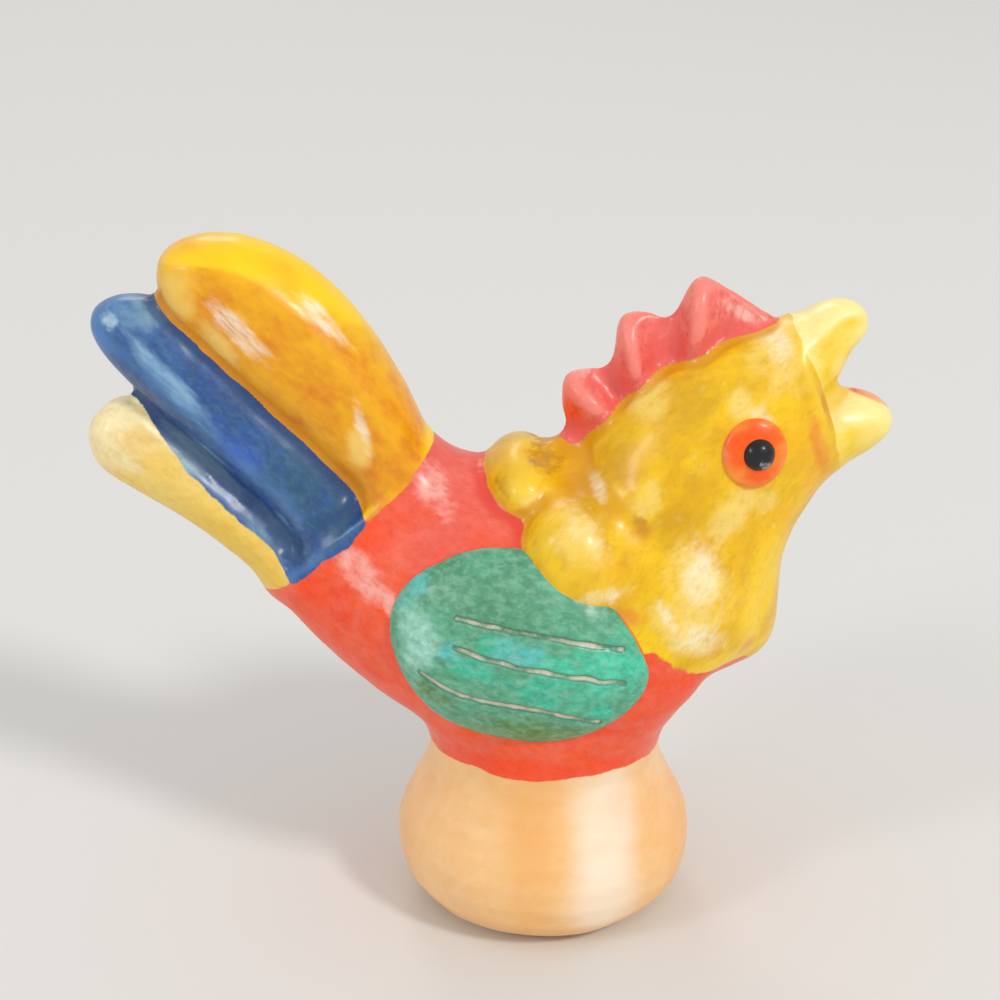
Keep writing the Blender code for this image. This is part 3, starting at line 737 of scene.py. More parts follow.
def hackleFields(fields, x, y, z):
    # the hackle's yellow fills the ring of lobes and ends on a line over the chest
    halfX, halfY = lineClay["hackleHalf"]
    ring = np.hypot((x - lineClay["hackleMiddle"]) / halfX, y / halfY)
    inRing = np.where(z > 70, (1 - ring) * 14, -9)
    for hemX, hemY, hemZ, radius in lineClay["hem"]:
        away = np.sqrt((x - hemX) ** 2 + (np.abs(y) - hemY) ** 2 + (z - hemZ) ** 2)
        inRing = np.maximum(inRing, radius - away)
    hackle = np.maximum(fields["hackle"], inRing)
    path = np.array(lineClay["chest"])
    onChest = (x > 38) & (z > 53) & (z < 66)
    hackle = np.where(onChest, np.minimum(hackle, z - np.interp(x, path[:, 0], path[:, 1])), hackle)
    fields["hackle"] = np.where(fields["comb"] > -2, fields["hackle"], hackle)
    fields["red"] = np.where(onChest, -hackle, np.minimum(fields["red"], -fields["hackle"]))


def pastLine(x, z, line):
    # distance from a drawn line, positive on one side of it
    past = np.full(len(x), np.inf)
    for (x1, z1), (x2, z2) in zip(line[:-1], line[1:]):
        span = math.hypot(x2 - x1, z2 - z1)
        along = np.clip(((x - x1) * (x2 - x1) + (z - z1) * (z2 - z1)) / span**2, 0, 1)
        away = np.hypot(x - x1 - along * (x2 - x1), z - z1 - along * (z2 - z1))
        side = np.sign((z - z1) * (x2 - x1) - (x - x1) * (z2 - z1))
        past = np.where(away < np.abs(past), away * side, past)
    return past


def tailFields(fields, x, z):
    # blue covers the top of the lower roll, and red ends on a brushed line over the roots of the tail
    path = np.array(lineClay["straw"]) + (footX, 0)
    straw = np.minimum((np.interp(x, path[:, 0], path[:, 1]) - z) * 0.64,
                       toForm["tail_middle_roll"] - toForm["tail_lower_roll"])
    top = nearest(["tail_middle_roll", "tail_lower_roll"]) - toForm["tail_upper_roll"]
    behind = pastLine(x, z, lineClay["tail"])
    byTail = (x < 5) & (z > 60)
    fields["red"] = np.where(byTail, np.minimum(behind, -fields["hackle"]), fields["red"])
    for paint, field in (("tailTop", top), ("tailBlue", np.minimum(-top, -straw)), ("tailStraw", straw)):
        fields[paint] = np.where(byTail, np.minimum(field, -behind), -9)


def paintFields():
    # how far inside each paint every point of the skin lies
    fields = {}
    for paint in dict.fromkeys(paintOf.values()):
        own = nearest([name for name in forms if paintOf[name] == paint])
        fields[paint] = nearest([name for name in forms if paintOf[name] != paint]) - own
    x, y, z = skinPoints.T
    footFields(fields, x, y, z)
    hackleFields(fields, x, y, z)
    tailFields(fields, x, z)
    return {paint: evened(field, 8) for paint, field in fields.items()}


paintField = paintFields()
# how far each point lies sunk below its smoothed neighbours, which the paints use for painted shade in
# hollows and painted highlight on rounded tops
hollow = ((smoothed(skinPoints, 40) - skinPoints) * skinNormal).sum(1)


def skinLabels():
    names = list(forms)
    labels = np.argmin([toForm[name] for name in names], axis=0)
    outward = np.hypot(skinPoints[:, 0] - footX, skinPoints[:, 1])
    roof = (outward < 23) & (skinPoints[:, 2] < 52)
    labels[roof & (labels == names.index("body"))] = names.index("foot")
    faceLabels = np.array([np.bincount(row).argmax() for row in labels[skinQuads]])
    for _ in range(4):
        counts = np.zeros((len(skinPoints), len(names)), np.int16)
        for k in range(4):
            np.add.at(counts, (skinQuads[:, k], faceLabels), 1)
        faceLabels = sum(counts[skinQuads[:, k]] for k in range(4)).argmax(axis=1)
    return names, faceLabels


labelNames, faceLabels = skinLabels()


def rimLoops(faces):
    # the open edges of a patch of faces, gathered loop by loop
    rim, group, loops = {}, {}, {}
    for face in faces.tolist():
        for first, second in zip(face, face[1:] + face[:1]):
            if (second, first) in rim:
                del rim[(second, first)]
            else:
                rim[(first, second)] = True

    def root(corner):
        while group.setdefault(corner, corner) != corner:
            corner = group[corner]
        return corner

    for first, second in rim:
        group[root(first)] = root(second)
    for first, second in rim:
        loops.setdefault(root(first), []).append((first, second))
    return loops.values()


def cutPiece(name, label):
    # the skin's faces of one clay part, closed underneath with a fan to a point inside
    used, faces = np.unique(skinQuads[faceLabels == label], return_inverse=True)
    faces = faces.reshape(-1, 4)
    points, normals = skinPoints[used], skinNormal[used]
    extra, caps = [], []
    middle = points.mean(0)
    for loop in rimLoops(faces):
        corners = sorted({corner for edge in loop for corner in edge})
        depth = min(skinClay["capDepth"], 0.04 * len(corners))
        inner = {corner: len(points) + len(extra) + k for k, corner in enumerate(corners)}
        extra += list(points[corners] - normals[corners] * depth)
        centre = points[corners].mean(0) - normals[corners].mean(0) * depth
        centre = centre + (middle - centre) * min(0.3, 0.001 * len(corners))
        tip = len(points) + len(extra)
        for first, second in loop:
            caps += [(second, first, inner[first], inner[second]), (inner[second], inner[first], tip)]
        extra.append(centre)
    allPoints = np.concatenate([points, np.array(extra).reshape(-1, 3)]) * mm
    piece = meshFrom(name, allPoints, [tuple(face) for face in faces.tolist()] + caps)
    shading = [tuple(normal) for normal in normals] + [(0, 0, 1)] * len(extra)
    piece.data.shade_smooth()
    piece.data.normals_split_custom_set_from_vertices(shading)
    for paint, field in paintField.items():
        storeValues(piece, paint + "Line", np.append(field[used], np.zeros(len(extra))))
    storeValues(piece, "hollow", np.append(hollow[used], np.zeros(len(extra))))
    return piece


def storeValues(piece, name, values):
    layer = piece.data.attributes.new(name, "FLOAT", "POINT")
    layer.data.foreach_set("value", values.astype(np.float32))


def srgb(r, g, b):
    shares = (tone / 255 for tone in (r, g, b))
    return (*(((tone + 0.055) / 1.055) ** 2.4 if tone > 0.04 else tone / 12.92 for tone in shares), 1.0)


def brush(colour, size, cover, soft, strength, *near, **more):
    return {"colour": colour, "size": size, "cover": cover, "soft": soft, "strength": strength,
            "near": near, **more}


# Each paint is a base colour with layers brushed over it. A brush has its colour, the size of its
# patches in mm, how much it covers, how soft its edges are and how strong it is, and then the ovals
# that it keeps near: x, z, radius, and for a long one how many times longer it is and how many
# degrees its long side slopes down towards the beak. It can also be drawn out along the stroke (stretch),
# kept to the upward-facing clay (top), where it paints a highlight as if lit from above, or kept to one
# distance from the middle plane (depth).
# A paint's colour for hollows is painted shade, and its colour for rounded tops is a painted highlight.
paints = {
    "red": {"base": (250, 80, 24), "rough": 0.38, "stroke": 30, "paintedShadeInHollows": (226, 62, 44),
        "paintedHighlightOnTops": (248, 122, 100), "layers": (
        brush((252, 94, 30), 9, 0.5, 0.5, 0.8),
        brush((238, 56, 20), 5, 0.4, 0.4, 0.5),
        # paler coral over the top of the back, partly faded paint and partly painted highlight
        brush((226, 98, 88), 20, 1, 0.5, 0.85, (-3, 100, 18)),
        brush((246, 124, 108), 3, 0.45, 0.4, 0.4),
        brush((255, 72, 8), 20, 1, 0.5, 0.7, (-26, 90, 4.5), (8, 42, 2.6, 8), (-38, 78, 3.5, 2, 45),
              (42, 58, 4, 2, -35)),
        # painted highlights: pale pink glints on the back, by the tail root and on the chest
        brush((255, 204, 194), 2.6, 0.85, 0.6, 0.65, (-11.5, 99, 2.8, 1.8, 50), (-26, 82.5, 3.2, 2.6, 42),
              (-20, 77, 1.8, 2.2, 60), (54, 59, 1.8, 2, -40)),
        brush((190, 44, 34), 1.1, 0.3, 0.3, 0.2),
    )},
    "cream": {"base": (250, 206, 146), "rough": 0.32, "layers": (
        brush((246, 186, 114), 22, 0.5, 0.5, 0.4),
        brush((244, 172, 98), 6, 0.35, 0.5, 0.35),
        brush((240, 164, 92), 1.6, 0.3, 0.4, 0.2),
        brush((242, 168, 84), 20, 1, 0.9, 0.55, (9, 22, 5, 4, 90), (-20, 18, 3.5, 4, 90),
              (41, 20, 2.6, 5, 90)),
        # painted highlight: a pale vertical band on the right of the foot, where the light falls
        brush((255, 242, 224), 20, 1, 0.8, 0.8, (24.5, 24, 6.6, 3, 90)),
        brush((246, 190, 116), 20, 1, 0.5, 0.6, (10, 3, 2.6, 9)),
    )},
    "hackle": {"base": (244, 194, 4), "rough": 0.33, "stroke": -50, "paintedShadeInHollows": (214, 146, 4),
        "paintedHighlightOnTops": (246, 206, 54), "layers": (
        brush((226, 166, 0), 12, 0.5, 0.45, 0.8),
        brush((252, 206, 6), 8, 0.45, 0.4, 0.8),
        brush((208, 150, 4), 4, 0.35, 0.4, 0.45),
        brush((206, 152, 4), 9, 0.85, 0.5, 0.65, (21, 97, 6), (27, 106, 5), (11, 92, 4), (37, 95, 5.5),
              (4, 104, 4), (40, 117, 5, 1.5, -30)),
        brush((250, 186, 0), 9, 0.95, 0.5, 0.75, (64, 106, 4, 2.5, 70), (58, 92, 3.5, 2, -60),
              (50, 113, 4), (24, 88, 3, 1.6, 60)),
        brush((255, 212, 0), 20, 1, 0.5, 0.85, (56, 79, 4, 3, -80), (46, 63.5, 2.6, 4.5, -8),
              (33, 70, 2.4, 2.5, 50), (12, 90, 2.5, 2, 70)),
        # painted highlights: pale yellow patches on the bumps of the lobes, the neck and the forehead
        brush((251, 222, 128), 4, 0.9, 0.6, 0.7, (57, 128, 5.5, 1.3, 60), (53, 98.9, 2.4, 2, 20),
              (47, 94.5, 3.2, 1.7, -50), (32, 117, 3, 1.8, -30), (41.5, 80, 6, 1.5, 75),
              (37, 76, 4, 1.4, 60), (18, 93, 4, 1.5, 40), (7, 99.2, 2, 1.5, 40), (31, 99, 2.4, 1.8, -60),
              (50, 118, 3)),
        # painted highlights: near-white glints on the lobes and the neck
        brush((255, 248, 222), 1.8, 0.8, 0.8, 0.7, (21.8, 100.5, 1.3, 1.8, 55),
              (42.5, 84.5, 3.6, 1.6, 80), (42, 71.5, 3.2, 1.5, 8), (22.8, 82, 1.5, 2.8, 2),
              (53.6, 115.5, 1.6, 1.7, 35), (19, 94, 2, 2.2, 45), (58, 128, 2.6), (35.5, 77, 1.2, 3, 60)),
        # dark brown patches: partly brown paint marks, partly painted shadow in the notch behind the back
        # lobe and the crease in the neck
        brush((150, 100, 34), 2, 0.8, 0.4, 0.6, (11.5, 104, 2.2, 2, 10), (3, 100.2, 1.8),
              (30, 94.6, 1.4, 2, 50), (9, 86, 1.2, 4, 62)),
        brush((236, 130, 50), 6, 0.95, 0.5, 0.6, (26, 77.5, 1.6, 2.5, 20), (66, 109, 1.6, 4, 72),
              (53, 66.5, 1.4, 1.8, -50)),
        brush((178, 118, 20), 1, 0.2, 0.3, 0.2),
    )},
    "tailTop": {"base": (240, 160, 0), "rough": 0.3, "stroke": 42, "paintedShadeInHollows": (226, 142, 4),
        "paintedHighlightOnTops": (252, 198, 20), "layers": (
        brush((228, 134, 4), 8, 0.5, 0.4, 0.8),
        brush((204, 108, 10), 1.8, 0.45, 0.3, 0.45),
        brush((250, 186, 4), 5, 0.4, 0.4, 0.7),
        # painted highlight: the upward-facing top of the upper roll brighter yellow, as if lit from above
        brush((255, 212, 0), 40, 1, 0.2, 1, top=(0.42, 0.62)),
        brush((250, 212, 112), 6, 1, 0.5, 0.85, (-61.5, 138, 4, 1.6, 80), (-55, 130, 2.4, 2.4, 50),
              (-26, 107, 2.4, 1.6, 80)),
        # painted reflections: white streaks along the ridge of the upper roll
        brush((255, 248, 230), 1.6, 0.72, 0.6, 0.75, (-49.5, 132, 2.6, 2.9, 45),
              (-33.4, 134.4, 1.5, 4.4, 49), (-25.6, 113, 1.3, 4.6, 79), stretch=3.5),
        brush((196, 120, 60), 0.8, 0.45, 0.2, 0.5, (-50.5, 133, 2.6, 2.6, 45), stretch=6),
    )},
    "tailBlue": {"base": (54, 98, 158), "rough": 0.34, "stroke": 46, "paintedShadeInHollows": (40, 70, 118),
        "paintedHighlightOnTops": (92, 140, 190), "layers": (
        brush((38, 72, 128), 8, 0.5, 0.45, 0.75),
        brush((46, 84, 176), 5, 0.4, 0.4, 0.5),
        brush((26, 50, 80), 1.6, 0.4, 0.3, 0.4),
        brush((40, 84, 112), 3, 0.85, 0.5, 0.8, (-38, 100, 6.5, 1.5, 42), (-32, 92, 5)),
        brush((44, 86, 190), 8, 1, 0.5, 0.75, (-50.5, 105, 3, 1.6, 45), (-79.5, 127, 3.5)),
        brush((132, 170, 192), 2.2, 0.9, 0.6, 0.75, (-68, 134.5, 3.4, 2.2, -10), (-44, 87, 4, 1.6, 42)),
        # painted highlights: pale sheen streaks along the crest and middle of the blue roll, and a glint near
        # its tip
        brush((146, 190, 218), 2.2, 0.9, 0.6, 0.85, (-63.5, 119.6, 2, 5.4, 51), stretch=4),
        brush((168, 204, 204), 2.2, 0.9, 0.6, 0.85, (-60, 103.4, 2.9, 3.2, 44), stretch=4),
        brush((206, 226, 240), 1.4, 0.9, 0.4, 0.7, (-75.8, 132.6, 1.8)),
        brush((90, 130, 150), 1.2, 0.3, 0.3, 0.3),
    )},
    "tailStraw": {"base": (246, 216, 120), "rough": 0.34, "stroke": 42, "layers": (
        brush((240, 194, 84), 8, 0.5, 0.5, 0.7),
        brush((252, 238, 190), 16, 1, 0.5, 0.85, (-79, 110.5, 11), (-75, 103, 1.8, 3, 25)),
        brush((234, 186, 84), 6, 1, 0.5, 0.7, (-72.5, 107.5, 2.6, 1.4, -20)),
        brush((238, 196, 66), 16, 1, 0.5, 0.7, (-54, 84, 5, 2.6, 42)),
        brush((214, 164, 64), 1.4, 0.3, 0.3, 0.3),
    )},
    "comb": {"base": (242, 106, 96), "rough": 0.4, "stroke": -70, "paintedShadeInHollows": (236, 96, 88),
        "paintedHighlightOnTops": (252, 142, 128), "layers": (
        brush((230, 80, 72), 5, 0.45, 0.4, 0.7),
        brush((250, 148, 134), 4, 0.45, 0.4, 0.6),
        brush((255, 80, 30), 30, 1, 0.4, 0.95, (16, 113, 3.4, 1.8, 62)),
        # painted highlights: whitish-pink glints on the comb's points and front slope
        brush((255, 206, 196), 1.8, 0.75, 0.5, 0.65, (51, 132.8, 1.3, 4, 32), (35.5, 129, 1.4, 1.8, -60),
              (19.5, 121, 1.2, 2.2, -40)),
        brush((176, 56, 50), 1, 0.35, 0.25, 0.35),
    )},
    "beak": {"base": (250, 220, 84), "rough": 0.32, "paintedShadeInHollows": (240, 198, 40),
        "paintedHighlightOnTops": (255, 238, 156), "layers": (
        brush((248, 206, 26), 5, 0.5, 0.3, 0.85),
        # painted highlight: the upward-facing top of the beak paler, as if lit from above
        brush((255, 240, 168), 30, 1, 0.3, 0.8, top=(0.1, 0.6)),
        brush((250, 200, 10), 8, 1, 0.5, 0.6, (70, 122, 3, 1.8, 60)),
        brush((200, 150, 50), 0.9, 0.25, 0.3, 0.15),
        brush((232, 76, 56), 30, 1, 0.2, 0.95, (79.2, 115.2, 2.8, 2.1, 22), depth=0),
    )},
    "wing": {"base": (92, 176, 140), "rough": 0.36, "stroke": 11, "layers": (
        brush((78, 152, 114), 6, 0.5, 0.4, 0.7),
        brush((92, 150, 112), 12, 1, 0.5, 0.6, (0, 82, 5, 2.4, 0)),
        brush((60, 216, 178), 8, 1, 0.5, 0.85, (23, 67, 6.5, 1.6, -20), (14, 68, 3.5, 1.6, 10)),
        brush((36, 196, 162), 3, 0.75, 0.4, 0.85, (-3.5, 67.7, 3.6, 1.5, 10), (10, 63, 3.6, 2, 10),
              (22, 58, 3), (1, 73, 2.4, 2, 8)),
        brush((92, 208, 206), 3, 0.85, 0.5, 0.8, (6, 71.6, 3, 1.8, 10), (-15.5, 82, 2.2, 2.6, -52),
              (-8, 71, 2.4)),
        # painted highlight: a pale patch on the wing's left shoulder
        brush((186, 242, 226), 12, 1, 0.5, 0.95, (-14.5, 74, 4.2, 1.8, 88)),
        brush((94, 132, 36), 5, 0.95, 0.5, 0.85, (8, 54, 3.4, 3, 6), (-10, 60, 2, 3, 45)),
        brush((50, 104, 76), 1.7, 0.45, 0.35, 0.4),
        brush((160, 212, 186), 1.3, 0.35, 0.35, 0.35),
    )},
    "eye": {"base": (248, 156, 60), "rough": 0.34, "layers": (
        brush((236, 150, 120), 8, 1, 0.5, 0.6, (46.4, 109, 1.8, 1.6, 90)),
        brush((250, 88, 0), 8, 1, 0.3, 1, (52.8, 108.2, 6.6, 1.06, 90)),
        brush((255, 126, 12), 3, 0.35, 0.4, 0.35),
    )},
    "pupil": {"base": (20, 20, 26), "rough": 0.22, "layers": (
        # painted highlight: a grey glint at the lower right of the pupil
        brush((150, 152, 160), 0.7, 0.6, 0.15, 0.8, (54.4, 107, 1.5)),
    )},
    "raw": {"base": (205, 150, 112), "rough": 0.85, "layers": (
        brush((184, 124, 88), 3, 0.4, 0.4, 0.7),
    )},
}

sheen = {"level": 0.3, "coat": 0.3, "coatRoughness": 0.2, "smoother": 0.06, "rougher": 0.16, "wornSize": 4.0}
strokeClay = {"grain": 0.5, "stroke": 1.1, "bump": 0.35, "height": 0.12}
edgePaint = {"wobbleSize": 5.0, "wobble": 1.2, "fraySize": 0.9, "fray": 0.45, "soft": 0.2}
# colour, start, end and strength of the dark rim and the bare core of a scratched line
scratchPaint = (((70, 122, 92), 0.04, 0.2, 0.7), ((228, 212, 194), 0.35, 0.65, 0.85))


def stepUp(tree, value, low, high):
    return addNode(tree, "ShaderNodeMapRange", {"Value": value, "From Min": low, "From Max": high},
                   interpolation_type="SMOOTHSTEP").outputs["Result"]


def patches(tree, place, size, stretch, seed, detail=3.0, turn=0.0):
    mapping = addNode(tree, "ShaderNodeMapping", {
        "Location": (seed * 0.37, seed * 0.71, seed * 0.13), "Rotation": (0, math.radians(turn), 0),
        "Scale": (stretch, 1, 1), "Vector": place}, vector_type="TEXTURE")
    return addNode(tree, "ShaderNodeTexNoise", {
        "Scale": 1 / (size * mm), "Detail": detail, "Roughness": 0.6,
        "Vector": mapping.outputs[0]}).outputs["Fac"]


def mixColours(tree, share, first, second):
    return addNode(tree, "ShaderNodeMix", {0: share, 6: first, 7: second}, data_type="RGBA").outputs[2]


def spot(tree, place, depth, x, z, radius, longer=1, slope=0):
    # 1 in an oval and 0 well outside it; with no depth the oval runs right through the bird
    oval = addNode(tree, "ShaderNodeMapping", {
        "Location": (x * mm, (depth or 0) * mm, z * mm), "Rotation": (0, math.radians(slope), 0),
        "Scale": (longer, 1e4 if depth is None else 1, 1), "Vector": place}, vector_type="TEXTURE")
    away = addNode(tree, "ShaderNodeVectorMath", {0: oval.outputs[0]}, operation="LENGTH").outputs["Value"]
    return stepUp(tree, away, radius * 1.9 * mm, radius * 0.3 * mm)


def touches(points, x, z, radius, longer=1, slope=0):
    # an oval that no point of a piece lies in is left out of that piece's material
    turn = math.radians(slope)
    along = ((points[:, 0] - x) * math.cos(turn) - (points[:, 2] - z) * math.sin(turn)) / longer
    across = (points[:, 0] - x) * math.sin(turn) + (points[:, 2] - z) * math.cos(turn)
    return (np.hypot(along, across) < radius * 2).any()


def paintGroup(name, recipe, points):
    tree = bpy.data.node_groups.new(name + "Paint", "ShaderNodeTree")
    tree.interface.new_socket("Colour", in_out="OUTPUT", socket_type="NodeSocketColor")
    place = tree.nodes.new("ShaderNodeTexCoord").outputs["Object"]
    normal = tree.nodes.new("ShaderNodeNewGeometry").outputs["Normal"]
    upward = addNode(tree, "ShaderNodeSeparateXYZ", {0: normal}).outputs["Z"]
    colour = srgb(*recipe["base"])
    for index, layer in enumerate(recipe["layers"]):
        seed = 1 + index * 1.7 + len(name)
        ovals = [oval for oval in layer["near"] if points is None or touches(points, *oval)]
        if layer["near"] and not ovals:
            continue
        value = patches(tree, place, layer["size"], layer.get("stretch", 1.6), seed,
                        turn=recipe.get("stroke", 0))
        centre = 0.68 - 0.36 * layer["cover"]
        if ovals:
            reach = 0.0
            for oval in ovals:
                reach = maths(tree, "MAXIMUM", reach, spot(tree, place, layer.get("depth"), *oval))
            value = maths(tree, "MULTIPLY_ADD", maths(tree, "SUBTRACT", reach, 1), 0.55, value)
        share = stepUp(tree, value, centre - layer["soft"] / 2, centre + layer["soft"] / 2)
        # a top layer lightens only upward-facing clay, as a painted highlight
        if "top" in layer:
            share = maths(tree, "MULTIPLY", share, stepUp(tree, upward, *layer["top"]))
        share = maths(tree, "MULTIPLY", share, layer["strength"])
        colour = mixColours(tree, share, colour, srgb(*layer["colour"]))
    # painted shade darkens the colour in hollows and creases, and a painted highlight lightens rounded tops
    concavity = addNode(tree, "ShaderNodeAttribute", attribute_name="hollow").outputs["Fac"]
    for tone, start, end in (("paintedShadeInHollows", 0.03, 0.4), ("paintedHighlightOnTops", -0.04, -0.4)):
        if tone in recipe:
            share = maths(tree, "MULTIPLY", stepUp(tree, concavity, start, end), 0.75)
            colour = mixColours(tree, share, colour, srgb(*recipe[tone]))
    addNode(tree, "NodeGroupOutput", {"Colour": colour})
    return tree


def clayMaterial(name, own, overlays=(), nodes=(), scratched=False):
    # one paint with its neighbours lapping over the edge, under a soft sheen
    material = bpy.data.materials.new(name)
    material.use_nodes = True
    tree = material.node_tree
    place = tree.nodes.new("ShaderNodeTexCoord").outputs["Object"]
    ownFaces = np.isin(faceLabels, [labelNames.index(node) for node in nodes])
    points = skinPoints[np.unique(skinQuads[ownFaces])] if nodes else None

    def paintColour(which):
        group = paintGroup(which, paints[which], points)
        return addNode(tree, "ShaderNodeGroup", node_tree=group).outputs["Colour"]

    def attribute(which):
        return addNode(tree, "ShaderNodeAttribute", attribute_name=which).outputs["Fac"]

    def ragged(size, seed, height, detail):
        uneven = patches(tree, place, size, 1, seed, detail)
        return maths(tree, "MULTIPLY", maths(tree, "SUBTRACT", uneven, 0.5), height)

    colour = paintColour(own)
    wobble = ragged(edgePaint["wobbleSize"], 5.1, edgePaint["wobble"], 1.0)
    fray = ragged(edgePaint["fraySize"], 8.3, edgePaint["fray"], 3.0)
    raggedness = maths(tree, "ADD", wobble, fray)
    order = list(paints)
    for paint in overlays:  # both paints of a line share its wobble, one side's turned over
        turned = "ADD" if order.index(paint) > order.index(own) else "SUBTRACT"
        edge = maths(tree, turned, attribute(paint + "Line"), raggedness)
        share = stepUp(tree, edge, -edgePaint["soft"], edgePaint["soft"])
        colour = mixColours(tree, share, colour, paintColour(paint))
    if scratched:
        cut = maths(tree, "MULTIPLY_ADD", fray, 0.5, attribute("groove"))
        for tone, start, end, strength in scratchPaint:
            share = maths(tree, "MULTIPLY", stepUp(tree, cut, start, end), strength)
            colour = mixColours(tree, share, colour, srgb(*tone))
    grain = patches(tree, place, strokeClay["grain"], 1, 2.2, detail=4)
    strokes = patches(tree, place, strokeClay["stroke"], 3, 7.3, turn=paints[own].get("stroke", 0))
    height = maths(tree, "ADD", maths(tree, "MULTIPLY", grain, 0.5), strokes)
    bump = addNode(tree, "ShaderNodeBump", {
        "Strength": strokeClay["bump"], "Distance": strokeClay["height"] * mm, "Height": height})
    rough = paints[own]["rough"]
    worn = addNode(tree, "ShaderNodeMapRange", {
        "To Min": rough - sheen["smoother"], "To Max": rough + sheen["rougher"],
        "Value": patches(tree, place, sheen["wornSize"], 1, 11.9)})
    shader = tree.nodes["Principled BSDF"].inputs
    tree.links.new(bump.outputs[0], shader["Normal"])
    tree.links.new(colour, shader["Base Color"])
    tree.links.new(worn.outputs["Result"], shader["Roughness"])
    shader["Specular IOR Level"].default_value = sheen["level"]
    shader["Coat Weight"].default_value = sheen["coat"]
    shader["Coat Roughness"].default_value = sheen["coatRoughness"]
    return material


print("bird: paints")
tailEdges = ("tailTop", "tailBlue", "tailStraw")
materials = {
    "foot": clayMaterial("footGlaze", "cream", ("red", "raw"), ["foot"]),
    "body": clayMaterial("bodyRed", "red", ("cream", "hackle", *tailEdges), ["body"]),
    "neck_and_head": clayMaterial("hackleYellow", "hackle", ("red", "comb", "beak"),
                                  ["neck_and_head", *lobes]),
    "comb": clayMaterial("combCoral", "comb", ("hackle", "beak"), ["comb"]),
    "beak_upper": clayMaterial("beakLemon", "beak", ("hackle", "comb"), beaks),
    "tail_upper_roll": clayMaterial("tailYellow", "tailTop", ("tailBlue", "red"), rolls[:1]),
    "tail_middle_roll": clayMaterial("tailBlue", "tailBlue", ("tailTop", "tailStraw", "red"), rolls[1:2]),
    "tail_lower_roll": clayMaterial("tailStraw", "tailStraw", ("tailBlue", "red"), rolls[2:]),
}
materials["beak_lower"] = materials["beak_upper"]
for name in lobes:
    materials[name] = materials["neck_and_head"]

print("bird: pieces")


def handOver(piece, node):
    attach(piece, "root")
    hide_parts(node)


def camelName(node):
    head, *rest = node.split("_")
    return head + "".join(word.capitalize() for word in rest)


for label, node in enumerate(labelNames):
    piece = cutPiece(camelName(node), label)
    piece.data.materials.append(materials[node])
    handOver(piece, node)

print("bird: wings")

wingClay = {
    "x": -6.0, "rise": 32.5, "thickness": 4.0, "fullness": 2.6, "key": 1.2, "root": 3.0,
    "sides": 300, "rings": 92, "smoothing": 14, "redGap": 0.35,
    "outline": ((-26.3, 1.5), (-22.5, 13.5), (-10.5, 20.3), (3.0, 20.3), (16.0, 13.5), (26.6, -3.5),
                (18.0, -16.5), (0.5, -20.8), (-17.5, -15.0)),
    "uneven": ((0.22, 9), (0.07, 2.6)),  # height and size of the lumps
    "lineWidth": 2.0, "lineDepth": 0.42, "lip": 0.12, "lineSteps": 40, "shake": 0.35,
    "lines": (((-6.5, 78.2), (1.1, 77.0), (10.6, 75.1), (18.1, 73.7), (26.5, 71.8)),
              ((-7.0, 72.2), (1.1, 69.8), (10.6, 67.9), (18.2, 66.4), (27.0, 64.6)),
              ((-14.0, 65.2), (-6.6, 61.8), (1.1, 60.3), (10.7, 58.7), (22.0, 55.3))),
}


def formTree(name):
    points, faces = forms[name]
    return BVHTree.FromPolygons(points.tolist(), faces)


bodyTree, headTree = formTree("body"), formTree("neck_and_head")


def onSide(tree, side, x, z):
    # the nearest point of a form seen from one side, and the way its surface faces there
    hit, normal, _, _ = tree.ray_cast((x, side * 200, z), (0, -side, 0))
    if hit is None:
        hit, normal, _, _ = tree.find_nearest((x, side * 20, z))
    return hit, normal if normal.y * side > 0 else -normal


def ringShares(rings):
    return [math.sin(math.pi / 2 * ring / rings) for ring in range(1, rings + 1)]


def crownAt(share, fullness):
    return max(0.0, 1 - share ** fullness) ** (1 / fullness)


def closedPad(points, sides, under, turnOver):
    # rings from the crown outwards, closed by a fan at the crown and one to a point underneath
    count, last = len(points), len(points) - sides
    faces = ringQuads(count // sides, sides)
    faces += [(k, (k + 1) % sides, count)[::-1] for k in range(sides)]
    faces += [(last + k, last + (k + 1) % sides, count + 1) for k in range(sides)]
    if turnOver:
        faces = [tuple(face)[::-1] for face in faces]
    return np.concatenate([points, [points[:sides].mean(0), under]]), faces


def wingForm(side):
    v = wingClay
    outline = closedCurve(v["outline"], v["sides"])
    centreX, centreZ = footX + v["x"], waistZ + v["rise"]
    points = []
    for share in ringShares(v["rings"]):
        crown = (v["thickness"] + v["key"]) * crownAt(share, v["fullness"]) - v["key"]
        for across, up in outline:
            hit, normal = onSide(bodyTree, side, centreX + across * share, centreZ + up * share)
            points.append(hit + normal * crown)
    rings = np.array(points).reshape(v["rings"], v["sides"], 3)
    for _ in range(v["smoothing"]):  # the body's own facets don't show through the pad
        around = rings[2:] + rings[:-2] + np.roll(rings, 1, 1)[1:-1] + np.roll(rings, -1, 1)[1:-1]
        rings[1:-1] = 0.5 * rings[1:-1] + 0.125 * around
    under = rings[-1].mean(0) - np.array((0, side * v["root"], 0))
    return closedPad(rings.reshape(-1, 3), v["sides"], under, side > 0)


